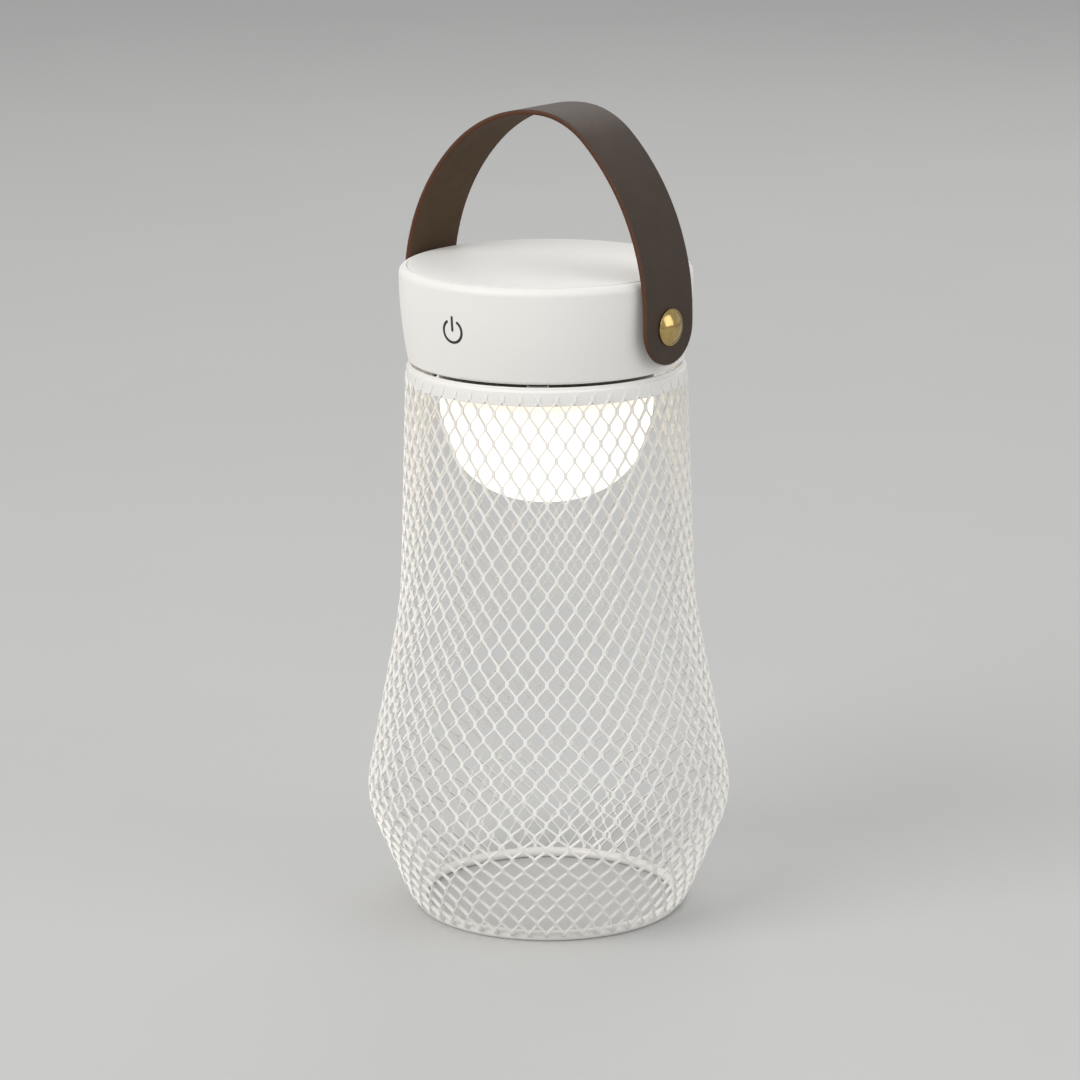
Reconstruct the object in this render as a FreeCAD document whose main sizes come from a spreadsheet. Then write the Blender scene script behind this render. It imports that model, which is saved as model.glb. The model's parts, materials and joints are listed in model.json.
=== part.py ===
"""Portable lantern table lamp: a drum head with a touch mark, a flared mesh shade and a strap handle.

Millimetres, +Z up, origin at the middle of the foot. The strap's rivets lie on X, the touch mark faces -Y
and the charging port faces +Y.
"""
import FreeCAD, Part
import math
import os
import Sketcher
from FreeCAD import Placement, Rotation, Vector

DRIVING = {
    # head: a drum with a rounded top edge and a side that draws in towards the shade
    "head_radius": 49.0, "head_height": 31.7, "head_taper": 2.8, "head_edge": 2.55, "head_lip": 1.0,
    "head_wall": 2.4,
    # top cover, let into the drum
    "rim_land": 0.1, "cover_seam": 0.15, "cover_thickness": 2.2, "cover_bevel": 0.15, "cover_skirt": 3.0,
    "skirt_wall": 1.8, "skirt_gap": 0.2, "ledge_width": 3.35, "ledge_thickness": 2.0,
    # strap and the rivets that it turns on
    "pivot_drop": 15.5, "rivet_radius": 2.5, "rivet_head_radius": 6.15, "rivet_rim": 0.5,
    "rivet_dome": 2.8, "boss_radius": 6.5, "boss_depth": 4.5, "burr_radius": 5.5, "burr_thickness": 1.0,
    "tail_radius": 3.4, "tail_end_radius": 2.4, "tail_length": 0.8, "pivot_washer": 1.0,
    "pivot_washer_radius": 5.0, "running_gap": 0.1,
    "strap_width": 25.0, "strap_thickness": 1.7, "strap_loop": 53.0, "strap_leg": 3.5,
    "strap_joint_angle": 48.0, "strap_lean": 6.0,
    # touch mark on the front of the drum, and the copper pad behind it
    "mark_radius": 3.7, "mark_stroke": 0.75, "mark_opening": 35.0, "mark_bar": 4.6, "mark_rise": 0.5,
    "mark_ink": 0.06, "ink_gap": 0.01,
    "pad_width": 16.0, "pad_height": 14.0, "pad_thickness": 0.25, "pad_glue": 0.15,
    # plate that carries the light and ties head, diffuser and shade together
    "plate_gap": 0.3, "plate_thickness": 2.0, "plate_inset": 2.0, "tie_inset": 2.9, "tie_angle": 55.0,
    "post_radius": 3.2, "post_height": 11.7, "post_blind": 1.5, "rib_height": 6.0, "rib_width": 2.6,
    "rib_inset": 0.3, "lead_hole": 3.0, "lead_hole_inset": 2.5,
    # light
    "led_board_gap": 1.2, "led_board_thickness": 1.6, "led_size": 2.8, "led_height": 0.7,
    "led_outer_inset": 9.0, "led_inner_ring": 10.0, "led_screw_inset": 4.5,
    # opal diffuser
    "dome_gap": 1.1, "dome_wall": 2.0, "dome_neck": 8.3, "dome_depth": 39.0, "dome_joint_angle": 19.8,
    "dome_post_inset": 4.2, "dome_post_radius": 2.6, "dome_post_height": 8.0, "dome_post_blind": 2.0,
    # shade: collar band, mesh and foot ring
    "shade_height": 190.3, "band_gap": 1.0, "band_step": 0.2, "band_thickness": 1.0, "band_height": 6.1,
    "band_bare": 1.5, "tab_width": 7.0,
    "mesh_thickness": 1.2, "mesh_end": 0.84, "weld_gap": 0.05,
    "waist_step": 3.7, "waist_height": 108.0, "waist_arc": 138.0,
    "belly_radius": 63.1, "belly_height": 39.0, "belly_arc": 28.5,
    "ring_radius": 44.05, "ring_wire": 1.75, "ring_lift": 1.6,
    # battery and its tray
    "cell_radius": 9.2, "cell_length": 65.2, "cell_spacing": 19.4, "cell_gap": 0.15, "cell_end_gap": 0.5,
    "tray_floor": 1.6, "tray_wall": 1.6, "tray_height": 8.7, "ear_inset": 5.5, "ear_radius": 3.5,
    "foam_length": 40.0, "foam_width": 24.0, "strip_thickness": 0.2, "strip_width": 26.0,
    "strip_height": 4.0,
    # control board, port and charge light
    "board_width": 30.0, "board_length": 20.5, "board_thickness": 1.6, "board_overhang": 4.3,
    "board_post_radius": 2.8, "board_post_offset": 11.5, "board_post_inset": 8.0, "tongue_margin": 1.0,
    "port_width": 8.94, "port_height": 3.2, "port_depth": 7.35, "port_sink": 0.4, "port_gap": 0.3,
    "port_wall": 0.3, "port_back": 1.2, "tongue_width": 6.6, "tongue_height": 0.7,
    "recess_width": 13.0, "recess_height": 7.5, "recess_depth": 1.25, "slot_run": 6.0,
    "light_radius": 1.0, "light_offset": 10.5, "light_overlap": 0.5, "light_sink": 0.1,
    # screws and leads
    "thread_gap": 0.05, "tie_screw": 1.5, "tie_head": 2.8, "tie_head_height": 1.8, "tie_length": 15.0,
    "small_screw": 1.2, "small_head": 2.2, "small_head_height": 1.4, "small_length": 3.4,
    "screw_tip_gap": 0.2, "pilot_extra": 1.0, "socket_across": 1.3,
    "lead_radius": 0.7, "lead_bend": 3.0, "lead_spread": 1.3, "touch_lead_radius": 0.5,
}
RIGHT, LEFT = 1, -1
DOME_SCREW_ANGLES = (30.0, 150.0, 270.0)
LED_OUTER_COUNT, LED_INNER_COUNT = 12, 6

doc = FreeCAD.newDocument("LanternLamp")
sheet = doc.addObject("Spreadsheet::Sheet", "Sizes")
for row, (alias, value) in enumerate(DRIVING.items(), 1):
    sheet.set(f"A{row}", alias)
    sheet.set(f"B{row}", str(value))
    sheet.setAlias(f"B{row}", alias)
doc.recompute()


class Size:
    """A length: its number, and the formula over the sheet's cells that an object is bound to."""

    def __init__(self, value, formula):
        self.value, self.formula = float(value), formula

    @staticmethod
    def of(other):
        return other if isinstance(other, Size) else Size(other, repr(float(other)))

    def __add__(self, other):
        other = Size.of(other)
        return Size(self.value + other.value, f"({self.formula} + {other.formula})")

    def __sub__(self, other):
        other = Size.of(other)
        return Size(self.value - other.value, f"({self.formula} - {other.formula})")

    def __mul__(self, other):
        other = Size.of(other)
        return Size(self.value * other.value, f"({self.formula} * {other.formula})")

    def __truediv__(self, other):
        other = Size.of(other)
        return Size(self.value / other.value, f"({self.formula} / {other.formula})")

    def __radd__(self, other):
        return Size.of(other) + self

    def __rsub__(self, other):
        return Size.of(other) - self

    def __rmul__(self, other):
        return Size.of(other) * self

    def __neg__(self):
        return Size(-self.value, f"(0 - {self.formula})")


def root(size):
    return Size(math.sqrt(size.value), f"sqrt({size.formula})")


def number(size):
    return Size.of(size).value


def trig(function, angle):
    return Size(getattr(math, function)(math.radians(angle.value)), f"{function}({angle.formula})")


def cell(alias):
    return Size(sheet.get(alias), f"Sizes.{alias}")


def bind(item, path, size):
    item.setExpression(path, Size.of(size).formula)


def named(item, label):
    item.Label = label
    return item


# Heights and radii that follow from the sheet -------------------------------------------------------------

head_bottom = cell("shade_height")
head_top = head_bottom + cell("head_height")
head_foot_radius = cell("head_radius") - cell("head_taper")
side_top = head_top - cell("head_edge")
side_height = side_top - head_bottom
side_arc = (side_height * side_height + cell("head_taper") * cell("head_taper")) / (2.0 * cell("head_taper"))
cover_radius = cell("head_radius") - cell("head_edge") - cell("rim_land") - cell("cover_seam")
cover_seat = head_top - cell("cover_thickness")
pivot_height = head_top - cell("pivot_drop")

strap_inner = cell("head_radius") + cell("pivot_washer") + cell("running_gap")
strap_outer = strap_inner + cell("strap_thickness")

plate_bottom = head_bottom + cell("plate_inset")
plate_top = plate_bottom + cell("plate_thickness")
plate_radius = head_foot_radius - cell("head_wall") - cell("plate_gap")
tie_ring = plate_radius - cell("tie_inset")
tie_hole = cell("tie_screw") + cell("thread_gap")
small_hole = cell("small_screw") + cell("thread_gap")

dome_radius = tie_ring - cell("tab_width") / 2 - cell("dome_gap")
dome_shoulder = head_bottom - cell("dome_neck")
dome_post_ring = dome_radius - cell("dome_post_inset")
led_board_radius = dome_post_ring - cell("dome_post_radius") - cell("led_board_gap")

band_radius = head_foot_radius - cell("band_step")
band_top = head_bottom - cell("band_gap")
mesh_top = band_top - cell("band_bare")
waist_radius = head_foot_radius + cell("waist_step")

cell_level = plate_top + cell("tray_floor") + cell("cell_radius") + cell("cell_gap")
cell_top = cell_level + cell("cell_radius")
ear_offset = plate_radius - cell("ear_inset")
board_top = pivot_height - cell("port_height") / 2
board_bottom = board_top - cell("board_thickness")


def side_radius(height, inset=0.0):
    """Radius of the drum's side at a height, or of a surface inset from it."""
    rise = side_top - height
    reach = side_arc - inset
    return cell("head_radius") - side_arc + root(reach * reach - rise * rise)


recess_floor = side_radius(pivot_height) - cell("recess_depth")
port_mouth = recess_floor - cell("port_sink")
board_outer = port_mouth - cell("board_overhang")
board_inner = board_outer - cell("board_length")
board_post_line = board_inner + cell("board_post_inset")
lead_hole_line = board_inner + cell("lead_hole_inset")
light_inner = board_outer - cell("light_overlap")


def quarter_oval(reach, rise, joint):
    """Radii of the side arc and the end arc that meet at the joint angle without a crease."""
    share = trig("tan", (90.0 - joint) / 2.0)
    side = (rise - reach * share) / (1.0 - share)
    return side, side - (side - reach) / trig("cos", joint)


# Part primitives and booleans -----------------------------------------------------------------------------

AXIS_TURN = {
    "+Z": Rotation(), "-Z": Rotation(Vector(1, 0, 0), 180),
    "+X": Rotation(Vector(0, 1, 0), 90), "-X": Rotation(Vector(0, 1, 0), -90),
    "+Y": Rotation(Vector(1, 0, 0), -90), "-Y": Rotation(Vector(1, 0, 0), 90),
}


def placed(item, at, turn=None):
    """Puts an object at a point whose three coordinates stay bound to the sheet."""
    item.Placement = Placement(Vector(*[number(c) for c in at]), turn or Rotation())
    for axis, coordinate in zip("xyz", at):
        bind(item, f"Placement.Base.{axis}", coordinate)
    return item


def cylinder(radius, height, at, axis="+Z"):
    item = doc.addObject("Part::Cylinder", "Round")
    bind(item, "Radius", radius)
    bind(item, "Height", height)
    return placed(item, at, AXIS_TURN[axis])


def cone(radius_1, radius_2, height, at, axis="+Z"):
    item = doc.addObject("Part::Cone", "Taper")
    bind(item, "Radius1", radius_1)
    bind(item, "Radius2", radius_2)
    bind(item, "Height", height)
    return placed(item, at, AXIS_TURN[axis])


def box(length, width, height, at, turn=0.0):
    item = doc.addObject("Part::Box", "Block")
    bind(item, "Length", length)
    bind(item, "Width", width)
    bind(item, "Height", height)
    return placed(item, at, Rotation(Vector(0, 0, 1), turn))


def middle_box(length, width, height, centre, bottom):
    """A block centred on a point of the plan, standing on a height."""
    return box(length, width, height, (centre[0] - length / 2, centre[1] - width / 2, bottom))


def fuse(*items):
    item = doc.addObject("Part::MultiFuse", "Union")
    item.Shapes = list(items)
    return item


def cut(base, *tools):
    item = doc.addObject("Part::Cut", "Cut")
    item.Base = base
    item.Tool = tools[0] if len(tools) == 1 else fuse(*tools)
    return item


def group(*items):
    """Like pieces that share one node stay separate solids."""
    item = doc.addObject("Part::Compound", "Group")
    item.Links = list(items)
    return item


def tube(outer, inner, height, at, axis="+Z"):
    return cut(cylinder(outer, height, at, axis), cylinder(inner, height, at, axis))


def drawn(shape):
    """A piece whose outline follows a formula: its shape is worked out from the sheet in this file."""
    item = doc.addObject("Part::Feature", "Drawn")
    item.Shape = shape
    return item


def polar(radius, angle):
    """Plan coordinates at an angle, bound to the radius."""
    return radius * math.cos(math.radians(angle)), radius * math.sin(math.radians(angle))


def tie_points():
    """Angle and plan point of the four places where one screw holds collar, plate and head together."""
    angle = number(cell("tie_angle"))
    return [(a, polar(tie_ring, a)) for a in (angle, 180 - angle, 180 + angle, -angle)]


def spoke(turn, end, width, height, bottom):
    """A bar that runs outwards from a tie point to a radius."""
    across = polar(width / 2, turn - 90)
    corner = tuple(p + a for p, a in zip(polar(tie_ring, turn), across))
    return box(end - tie_ring, width, height, (*corner, bottom), turn)


# Sketches of turned pieces --------------------------------------------------------------------------------

def arc_between(start, end, radius, left):
    """The arc under half a circle from start to end, with its centre on the given side of the way."""
    chord = end - start
    middle = (start + end) * 0.5
    across = Vector(-chord.y, chord.x, 0).normalize()
    centre = middle + across * math.sqrt(radius ** 2 - chord.Length ** 2 / 4) * (1 if left else -1)
    angle_1 = math.atan2(start.y - centre.y, start.x - centre.x)
    angle_2 = math.atan2(end.y - centre.y, end.x - centre.x)
    if not left:
        angle_1, angle_2 = angle_2, angle_1
    return Part.ArcOfCircle(Part.Circle(centre, Vector(0, 0, 1), radius), angle_1, angle_2)


def outline(sketch, corners):
    """Draws a closed outline. A corner is (x, y), or (x, y, radius, side) where an arc leads to it."""
    points = [Vector(number(c[0]), number(c[1]), 0) for c in corners]
    ends = []
    for i, corner in enumerate(corners):
        start, end = points[i - 1], points[i]
        if len(corner) == 2:
            sketch.addGeometry(Part.LineSegment(start, end), False)
            ends.append((1, 2))
        else:
            left = corner[3] == "left"
            sketch.addGeometry(arc_between(start, end, number(corner[2]), left), False)
            ends.append((1, 2) if left else (2, 1))
    for i, corner in enumerate(corners):
        after = (i + 1) % len(corners)
        sketch.addConstraint(Sketcher.Constraint("Coincident", i, ends[i][1], after, ends[after][0]))
        for kind, size in (("DistanceX", corner[0]), ("DistanceY", corner[1])):
            index = sketch.addConstraint(Sketcher.Constraint(kind, -1, 1, i, ends[i][1], number(size)))
            bind(sketch, f"Constraints[{index}]", size)
        if len(corner) == 4:
            index = sketch.addConstraint(Sketcher.Constraint("Radius", i, number(corner[2])))
            bind(sketch, f"Constraints[{index}]", corner[2])


def sketch_on(body, role, name):
    plane = next(f for f in body.Origin.OriginFeatures if f.Role == role)
    sketch = body.newObject("Sketcher::SketchObject", name)
    sketch.AttachmentSupport = [(plane, "")]
    sketch.MapMode = "FlatFace"
    return sketch


def turned(label, corners, at=(0, 0, 0), turn=None):
    """A body of revolution about its own Z, from an outline of (radius, height) corners."""
    body = doc.addObject("PartDesign::Body", "Turned")
    sketch = sketch_on(body, "XZ_Plane", "Outline")
    outline(sketch, corners)
    revolution = body.newObject("PartDesign::Revolution", "Revolution")
    revolution.Profile = sketch
    revolution.ReferenceAxis = (sketch, ["V_Axis"])
    revolution.Angle = 360.0
    sketch.Visibility = False
    body.Tip = revolution
    placed(body, at, turn)
    return named(body, label)


# Screws and leads -----------------------------------------------------------------------------------------

def pan_screw(shank, head, head_height, length, at, axis):
    """A pan head screw with a hex socket. The point given is the middle of its bearing face."""
    way = AXIS_TURN[axis].multVec(Vector(0, 0, 1))
    opposite = ("-" if axis[0] == "+" else "+") + axis[1]
    socket = doc.addObject("Part::Prism", "Socket")
    socket.Polygon = 6
    bind(socket, "Circumradius", cell("socket_across"))
    bind(socket, "Height", head_height / 2)
    placed(socket, tuple(a + d * head_height / 2 for a, d in zip(at, way)), AXIS_TURN[axis])
    return cut(fuse(cylinder(head, head_height, at, axis), cylinder(shank, length, at, opposite)), socket)


def small_screw(at, axis, length):
    return pan_screw(cell("small_screw"), cell("small_head"), cell("small_head_height"), length, at, axis)


def lead(points, radius, bend):
    """A wire along straight runs that tangent arcs join."""
    points = [Vector(*p) for p in points]
    edges, start = [], points[0]
    for before, corner, after in zip(points, points[1:], points[2:]):
        back, ahead = (before - corner).normalize(), (after - corner).normalize()
        half = back.getAngle(ahead) / 2
        first, last = corner + back * (bend / math.tan(half)), corner + ahead * (bend / math.tan(half))
        mean = (back + ahead).normalize()
        middle = corner + mean * (bend / math.sin(half) - bend)
        edges += [Part.LineSegment(start, first).toShape(), Part.Arc(first, middle, last).toShape()]
        start = last
    edges.append(Part.LineSegment(start, points[-1]).toShape())
    path = Part.Wire(edges)
    section = Part.Wire([Part.Circle(points[0], points[1] - points[0], radius).toShape()])
    return path.makePipeShell([section], True, False)


# Head -----------------------------------------------------------------------------------------------------

def head_housing():
    wall, edge, lip = cell("head_wall"), cell("head_edge"), cell("head_lip")
    seat_radius = cover_radius + cell("cover_seam")
    ledge = cover_seat - cell("ledge_thickness")
    lip_top = head_bottom + lip
    drum = turned("head_drum", [
        (side_radius(head_bottom, wall), head_bottom, side_arc - wall, "right"),
        (side_radius(lip_top) - lip, head_bottom),
        (side_radius(lip_top), lip_top, lip, "left"),
        (cell("head_radius"), side_top, side_arc, "left"),
        (cell("head_radius") - edge, head_top, edge, "left"),
        (seat_radius, head_top),
        (seat_radius, cover_seat),
        (seat_radius - cell("ledge_width"), cover_seat),
        (seat_radius - cell("ledge_width"), ledge),
        (side_radius(ledge, wall), ledge),
    ])
    additions, openings = [drum], []
    for sign, axis in ((RIGHT, "+X"), (LEFT, "-X")):
        depth = cell("boss_depth")
        start = (sign * (cell("head_radius") - depth), 0, pivot_height)
        additions.append(cylinder(cell("boss_radius"), depth, start, axis))
        openings.append(cylinder(cell("rivet_radius") + cell("thread_gap"), depth, start, axis))
    for turn, point in tie_points():
        additions.append(cylinder(cell("post_radius"), cell("post_height"), (*point, plate_top)))
        additions.append(spoke(turn, head_foot_radius - cell("rib_inset"), cell("rib_width"),
                               cell("rib_height"), plate_top))
        openings.append(cylinder(tie_hole, cell("post_height") - cell("post_blind"), (*point, plate_top)))
    run, gap = cell("slot_run"), cell("port_gap")
    openings.append(stadium(cell("port_width") + 2 * gap, cell("port_height") + 2 * gap,
                            2 * run, recess_floor - run))
    openings.append(stadium(cell("recess_width"), cell("recess_height"), run, recess_floor))
    openings.append(cylinder(cell("light_radius") + cell("thread_gap"), 2 * run,
                             (cell("light_offset"), light_inner, pivot_height), "+Y"))
    named(cut(fuse(*additions), *openings), "head_housing")


def stadium(width, height, depth, start):
    """A round-ended bar along Y at the port's height, from a given distance behind the axis."""
    radius = height / 2
    reach = width / 2 - radius
    ends = [cylinder(radius, depth, (x, start, pivot_height), "+Y") for x in (reach, -reach)]
    return fuse(box(2 * reach, depth, height, (-reach, start, pivot_height - radius)), *ends)


def top_cover():
    skirt = cover_radius + cell("cover_seam") - cell("ledge_width") - cell("skirt_gap")
    skirt_bottom = cover_seat - cell("cover_skirt")
    turned("top_cover", [
        (0, cover_seat),
        (skirt - cell("skirt_wall"), cover_seat),
        (skirt - cell("skirt_wall"), skirt_bottom),
        (skirt, skirt_bottom),
        (skirt, cover_seat),
        (cover_radius, cover_seat),
        (cover_radius, head_top - cell("cover_bevel")),
        (cover_radius - cell("cover_bevel"), head_top),
        (0, head_top),
    ])


def side_layer(near, far):
    """The layer that hugs the drum's side between two distances, outward positive."""
    radius, level = number(side_arc), number(side_top)
    centre = number(cell("head_radius")) - radius
    lip = number(cell("head_lip"))
    bottom, top = number(head_bottom) + lip, level - lip

    def edge(reach):
        heights = (bottom, (bottom + top) / 2, top)
        return [Vector(centre + math.sqrt(reach ** 2 - (h - level) ** 2), 0, h) for h in heights]

    inner, outer = edge(radius + near), edge(radius + far)
    face = Part.Face(Part.Wire([
        Part.Arc(*inner).toShape(), Part.LineSegment(inner[2], outer[2]).toShape(),
        Part.Arc(*reversed(outer)).toShape(), Part.LineSegment(outer[0], inner[0]).toShape(),
    ]))
    return face.revolve(Vector(0, 0, 0), Vector(0, 0, 1), 360)


def power_symbol():
    """The printed standby mark: a ring open at the top with a bar in the opening."""
    radius, stroke = number(cell("mark_radius")), number(cell("mark_stroke"))
    outer, inner, level = radius + stroke / 2, radius - stroke / 2, number(pivot_height)
    depth = number(cell("head_radius"))
    front = Vector(0, -2 * depth, level)
    inwards = Vector(0, 1, 0)
    disc = Part.makeCylinder(outer, 2 * depth, front, inwards)
    hole = Part.makeCylinder(inner, 2 * depth, front, inwards)
    spread = 2 * outer * math.tan(math.radians(number(cell("mark_opening"))))
    wedge = Part.Face(Part.makePolygon([
        front, front + Vector(spread, 0, 2 * outer), front + Vector(-spread, 0, 2 * outer), front,
    ])).extrude(inwards * 2 * depth)
    length = number(cell("mark_bar"))
    bar_bottom = level + outer + number(cell("mark_rise")) - length
    bar = Part.makeBox(stroke, 2 * depth, length, Vector(-stroke / 2, front.y, bar_bottom))
    gap = number(cell("ink_gap"))
    ink = side_layer(gap, gap + number(cell("mark_ink")))
    named(drawn(disc.cut(hole).cut(wedge).fuse(bar).common(ink)), "power_symbol")


def touch_pad():
    """The copper patch on the inner face of the wall, behind the mark."""
    width, height, depth = number(cell("pad_width")), number(cell("pad_height")), number(cell("head_radius"))
    block = Part.makeBox(width, depth, height, Vector(-width / 2, -depth, number(pivot_height) - height / 2))
    near = -number(cell("head_wall") + cell("pad_glue"))
    named(drawn(side_layer(near - number(cell("pad_thickness")), near).common(block)), "touch_pad")


# Strap, rivets and washers --------------------------------------------------------------------------------

def rivets():
    """Each rivet's own Z points outwards, from the lamp's axis."""
    under_head = strap_outer + cell("running_gap")
    rim = under_head + cell("rivet_rim")
    crown = under_head + cell("rivet_dome")
    tail_end = cell("head_radius") - cell("boss_depth") - cell("burr_thickness")
    tail_start = tail_end - cell("tail_length")
    rise = cell("rivet_dome") - cell("rivet_rim")
    dome_arc = (cell("rivet_head_radius") * cell("rivet_head_radius") + rise * rise) / (2.0 * rise)
    for label, turn in (("rivet_right", AXIS_TURN["+X"]), ("rivet_left", AXIS_TURN["-X"])):
        turned(label, [
            (0, tail_start),
            (cell("tail_end_radius"), tail_start),
            (cell("tail_radius"), tail_end),
            (cell("rivet_radius"), tail_end),
            (cell("rivet_radius"), under_head),
            (cell("rivet_head_radius"), under_head),
            (cell("rivet_head_radius"), rim),
            (0, crown, dome_arc, "left"),
        ], (0, 0, pivot_height), turn)


def rivet_washers():
    hole = cell("rivet_radius") + cell("thread_gap")
    burr_at = cell("head_radius") - cell("boss_depth") - cell("burr_thickness")
    for label, radius, thickness, start in (
            ("rivet_burrs", cell("burr_radius"), cell("burr_thickness"), burr_at),
            ("pivot_washers", cell("pivot_washer_radius"), cell("pivot_washer"), cell("head_radius"))):
        named(group(*[tube(radius, hole, thickness, (sign * start, 0, pivot_height), axis)
                      for sign, axis in ((RIGHT, "+X"), (LEFT, "-X"))]), label)


def half_arch(reach, rise, inset, sign, middle, base):
    """One side of the arch: a side arc from the upright leg, then an end arc over the top."""
    joint = cell("strap_joint_angle")
    side_arc_, end_arc = (number(r) for r in quarter_oval(Size.of(reach), Size.of(rise), joint))
    joint_angle = math.radians(number(joint))

    def at(centre_x, centre_z, radius, angle):
        x, z = centre_x + (radius - inset) * math.cos(angle), centre_z + (radius - inset) * math.sin(angle)
        return Vector(middle + sign * x, 0, base + z)

    steps = (0, 0.5, 1)
    side = [at(reach - side_arc_, 0, side_arc_, joint_angle * f) for f in steps]
    rest = math.pi / 2 - joint_angle
    over = [at(0, rise - end_arc, end_arc, joint_angle + rest * f) for f in steps]
    return [Part.Arc(*side).toShape(), Part.Arc(*over).toShape()], side[0]


def handle_strap():
    """A leather strap bent into an arch, with round ends that hang on the rivets."""
    pivot, lean = number(pivot_height), number(cell("strap_lean"))
    base = pivot + number(cell("strap_leg"))
    outside, rise = number(strap_outer), number(head_top + cell("strap_loop")) - base
    width, thickness = number(cell("strap_width")), number(cell("strap_thickness"))
    foot = pivot - width / 2

    def run(inset):
        right, right_foot = half_arch(outside - lean, rise, inset, RIGHT, lean, base)
        left, left_foot = half_arch(outside + lean, rise, inset, LEFT, lean, base)
        legs = [Part.LineSegment(Vector(p.x, 0, foot), p).toShape() for p in (right_foot, left_foot)]
        return legs + right + left

    ends = [Part.LineSegment(Vector(sign * (outside - thickness), 0, foot),
                             Vector(sign * outside, 0, foot)).toShape() for sign in (RIGHT, LEFT)]
    face = Part.Face(Part.Wire(Part.__sortEdges__(run(0.0) + run(thickness) + ends)))
    ribbon = face.extrude(Vector(0, width, 0))
    ribbon.translate(Vector(0, -width / 2, 0))
    start = Vector(-2 * outside, 0, pivot)
    sideways = Vector(1, 0, 0)
    above = Part.makeBox(4 * outside, width, 2 * rise, start - Vector(0, width / 2, 0))
    round_end = Part.makeCylinder(width / 2, 4 * outside, start, sideways)
    hole = Part.makeCylinder(number(cell("rivet_radius") + cell("running_gap")), 4 * outside, start, sideways)
    named(drawn(ribbon.common(above.fuse(round_end)).cut(hole)), "handle_strap")


# Plate, light and diffuser --------------------------------------------------------------------------------

def base_plate():
    bottom, thickness = plate_bottom, cell("plate_thickness")
    holes = [cylinder(tie_hole, thickness, (*point, bottom)) for _, point in tie_points()]
    holes.append(cylinder(cell("lead_hole"), thickness, (0, lead_hole_line, bottom)))
    sink = cell("small_head_height")
    for point in frame_screw_points() + led_screw_points() + dome_screw_points():
        holes.append(cylinder(small_hole, thickness, (*point, bottom)))
    flare = cell("small_head") + cell("thread_gap")
    holes += [cone(small_hole, flare, sink, (*point, plate_top - sink)) for point in dome_screw_points()]
    named(cut(cylinder(plate_radius, thickness, (0, 0, bottom)), *holes), "base_plate")


def led_screw_points():
    return [polar(led_board_radius - cell("led_screw_inset"), angle) for angle in DOME_SCREW_ANGLES]


def dome_screw_points():
    return [polar(dome_post_ring, angle) for angle in DOME_SCREW_ANGLES]


def led_board():
    thickness = cell("led_board_thickness")
    bottom = plate_bottom - thickness
    holes = [cylinder(small_hole, thickness, (*point, bottom)) for point in led_screw_points()]
    named(cut(cylinder(led_board_radius, thickness, (0, 0, bottom)), *holes), "led_board")
    size, height = cell("led_size"), cell("led_height")
    outer_ring = led_board_radius - cell("led_outer_inset")
    chips = [middle_box(size, size, height, polar(ring, 360.0 / count * (i + 0.5)), bottom - height)
             for ring, count in ((outer_ring, LED_OUTER_COUNT), (cell("led_inner_ring"), LED_INNER_COUNT))
             for i in range(count)]
    named(group(*chips), "led_chips")
    length = thickness + cell("plate_thickness") - cell("screw_tip_gap")
    named(group(*[small_screw((*point, bottom), "-Z", length) for point in led_screw_points()]),
          "led_board_screws")


def diffuser_dome():
    """The opal bowl: an upright rim, then a side arc that runs smoothly into a flatter end arc."""
    rim, radius, wall, depth = plate_bottom, dome_radius, cell("dome_wall"), cell("dome_depth")
    angle = cell("dome_joint_angle")
    side, low = quarter_oval(radius, depth, angle)
    bottom = dome_shoulder - depth

    def joint(reach):
        return reach * trig("cos", angle), bottom + low - reach * trig("sin", angle)

    bowl = turned("bowl", [
        (0, bottom),
        (*joint(low), low, "left"),
        (radius, dome_shoulder, side, "left"),
        (radius, rim),
        (radius - wall, rim),
        (radius - wall, dome_shoulder),
        (*joint(low - wall), side - wall, "right"),
        (0, bottom + wall, low - wall, "right"),
    ])
    posts, pilots, screws = [], [], []
    post_bottom = rim - cell("dome_post_height")
    pilot_bottom = post_bottom + cell("dome_post_blind")
    tip = pilot_bottom + cell("screw_tip_gap")
    sink = plate_top - cell("small_head_height")
    for point in dome_screw_points():
        posts.append(cylinder(cell("dome_post_radius"), rim - post_bottom, (*point, post_bottom)))
        pilots.append(cylinder(small_hole, rim - pilot_bottom, (*point, pilot_bottom)))
        screws.append(fuse(
            cone(cell("small_screw"), cell("small_head"), cell("small_head_height"), (*point, sink)),
            cylinder(cell("small_screw"), sink - tip, (*point, tip)),
        ))
    named(cut(fuse(bowl, *posts), *pilots), "diffuser_dome")
    named(group(*screws), "diffuser_screws")


# Shade ----------------------------------------------------------------------------------------------------

def collar_band():
    """A steel band with four tabs folded in at its top edge. The mesh is welded round its outside."""
    outer, thickness, height = band_radius, cell("band_thickness"), cell("band_height")
    tab_bottom = band_top - thickness
    pieces = [tube(outer, outer - thickness, height, (0, 0, band_top - height))]
    holes, spacers, screws = [], [], []
    for turn, point in tie_points():
        pieces.append(spoke(turn, outer - thickness / 2, cell("tab_width"), thickness, tab_bottom))
        pieces.append(cylinder(cell("tab_width") / 2, thickness, (*point, tab_bottom)))
        holes.append(cylinder(tie_hole, thickness, (*point, tab_bottom)))
        spacers.append(tube(cell("post_radius"), tie_hole, plate_bottom - band_top, (*point, band_top)))
        screws.append(pan_screw(cell("tie_screw"), cell("tie_head"), cell("tie_head_height"),
                                cell("tie_length"), (*point, tab_bottom), "-Z"))
    named(cut(fuse(*pieces), *holes), "collar_band")
    named(group(*spacers), "collar_spacers")
    named(group(*screws), "collar_screws")


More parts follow.
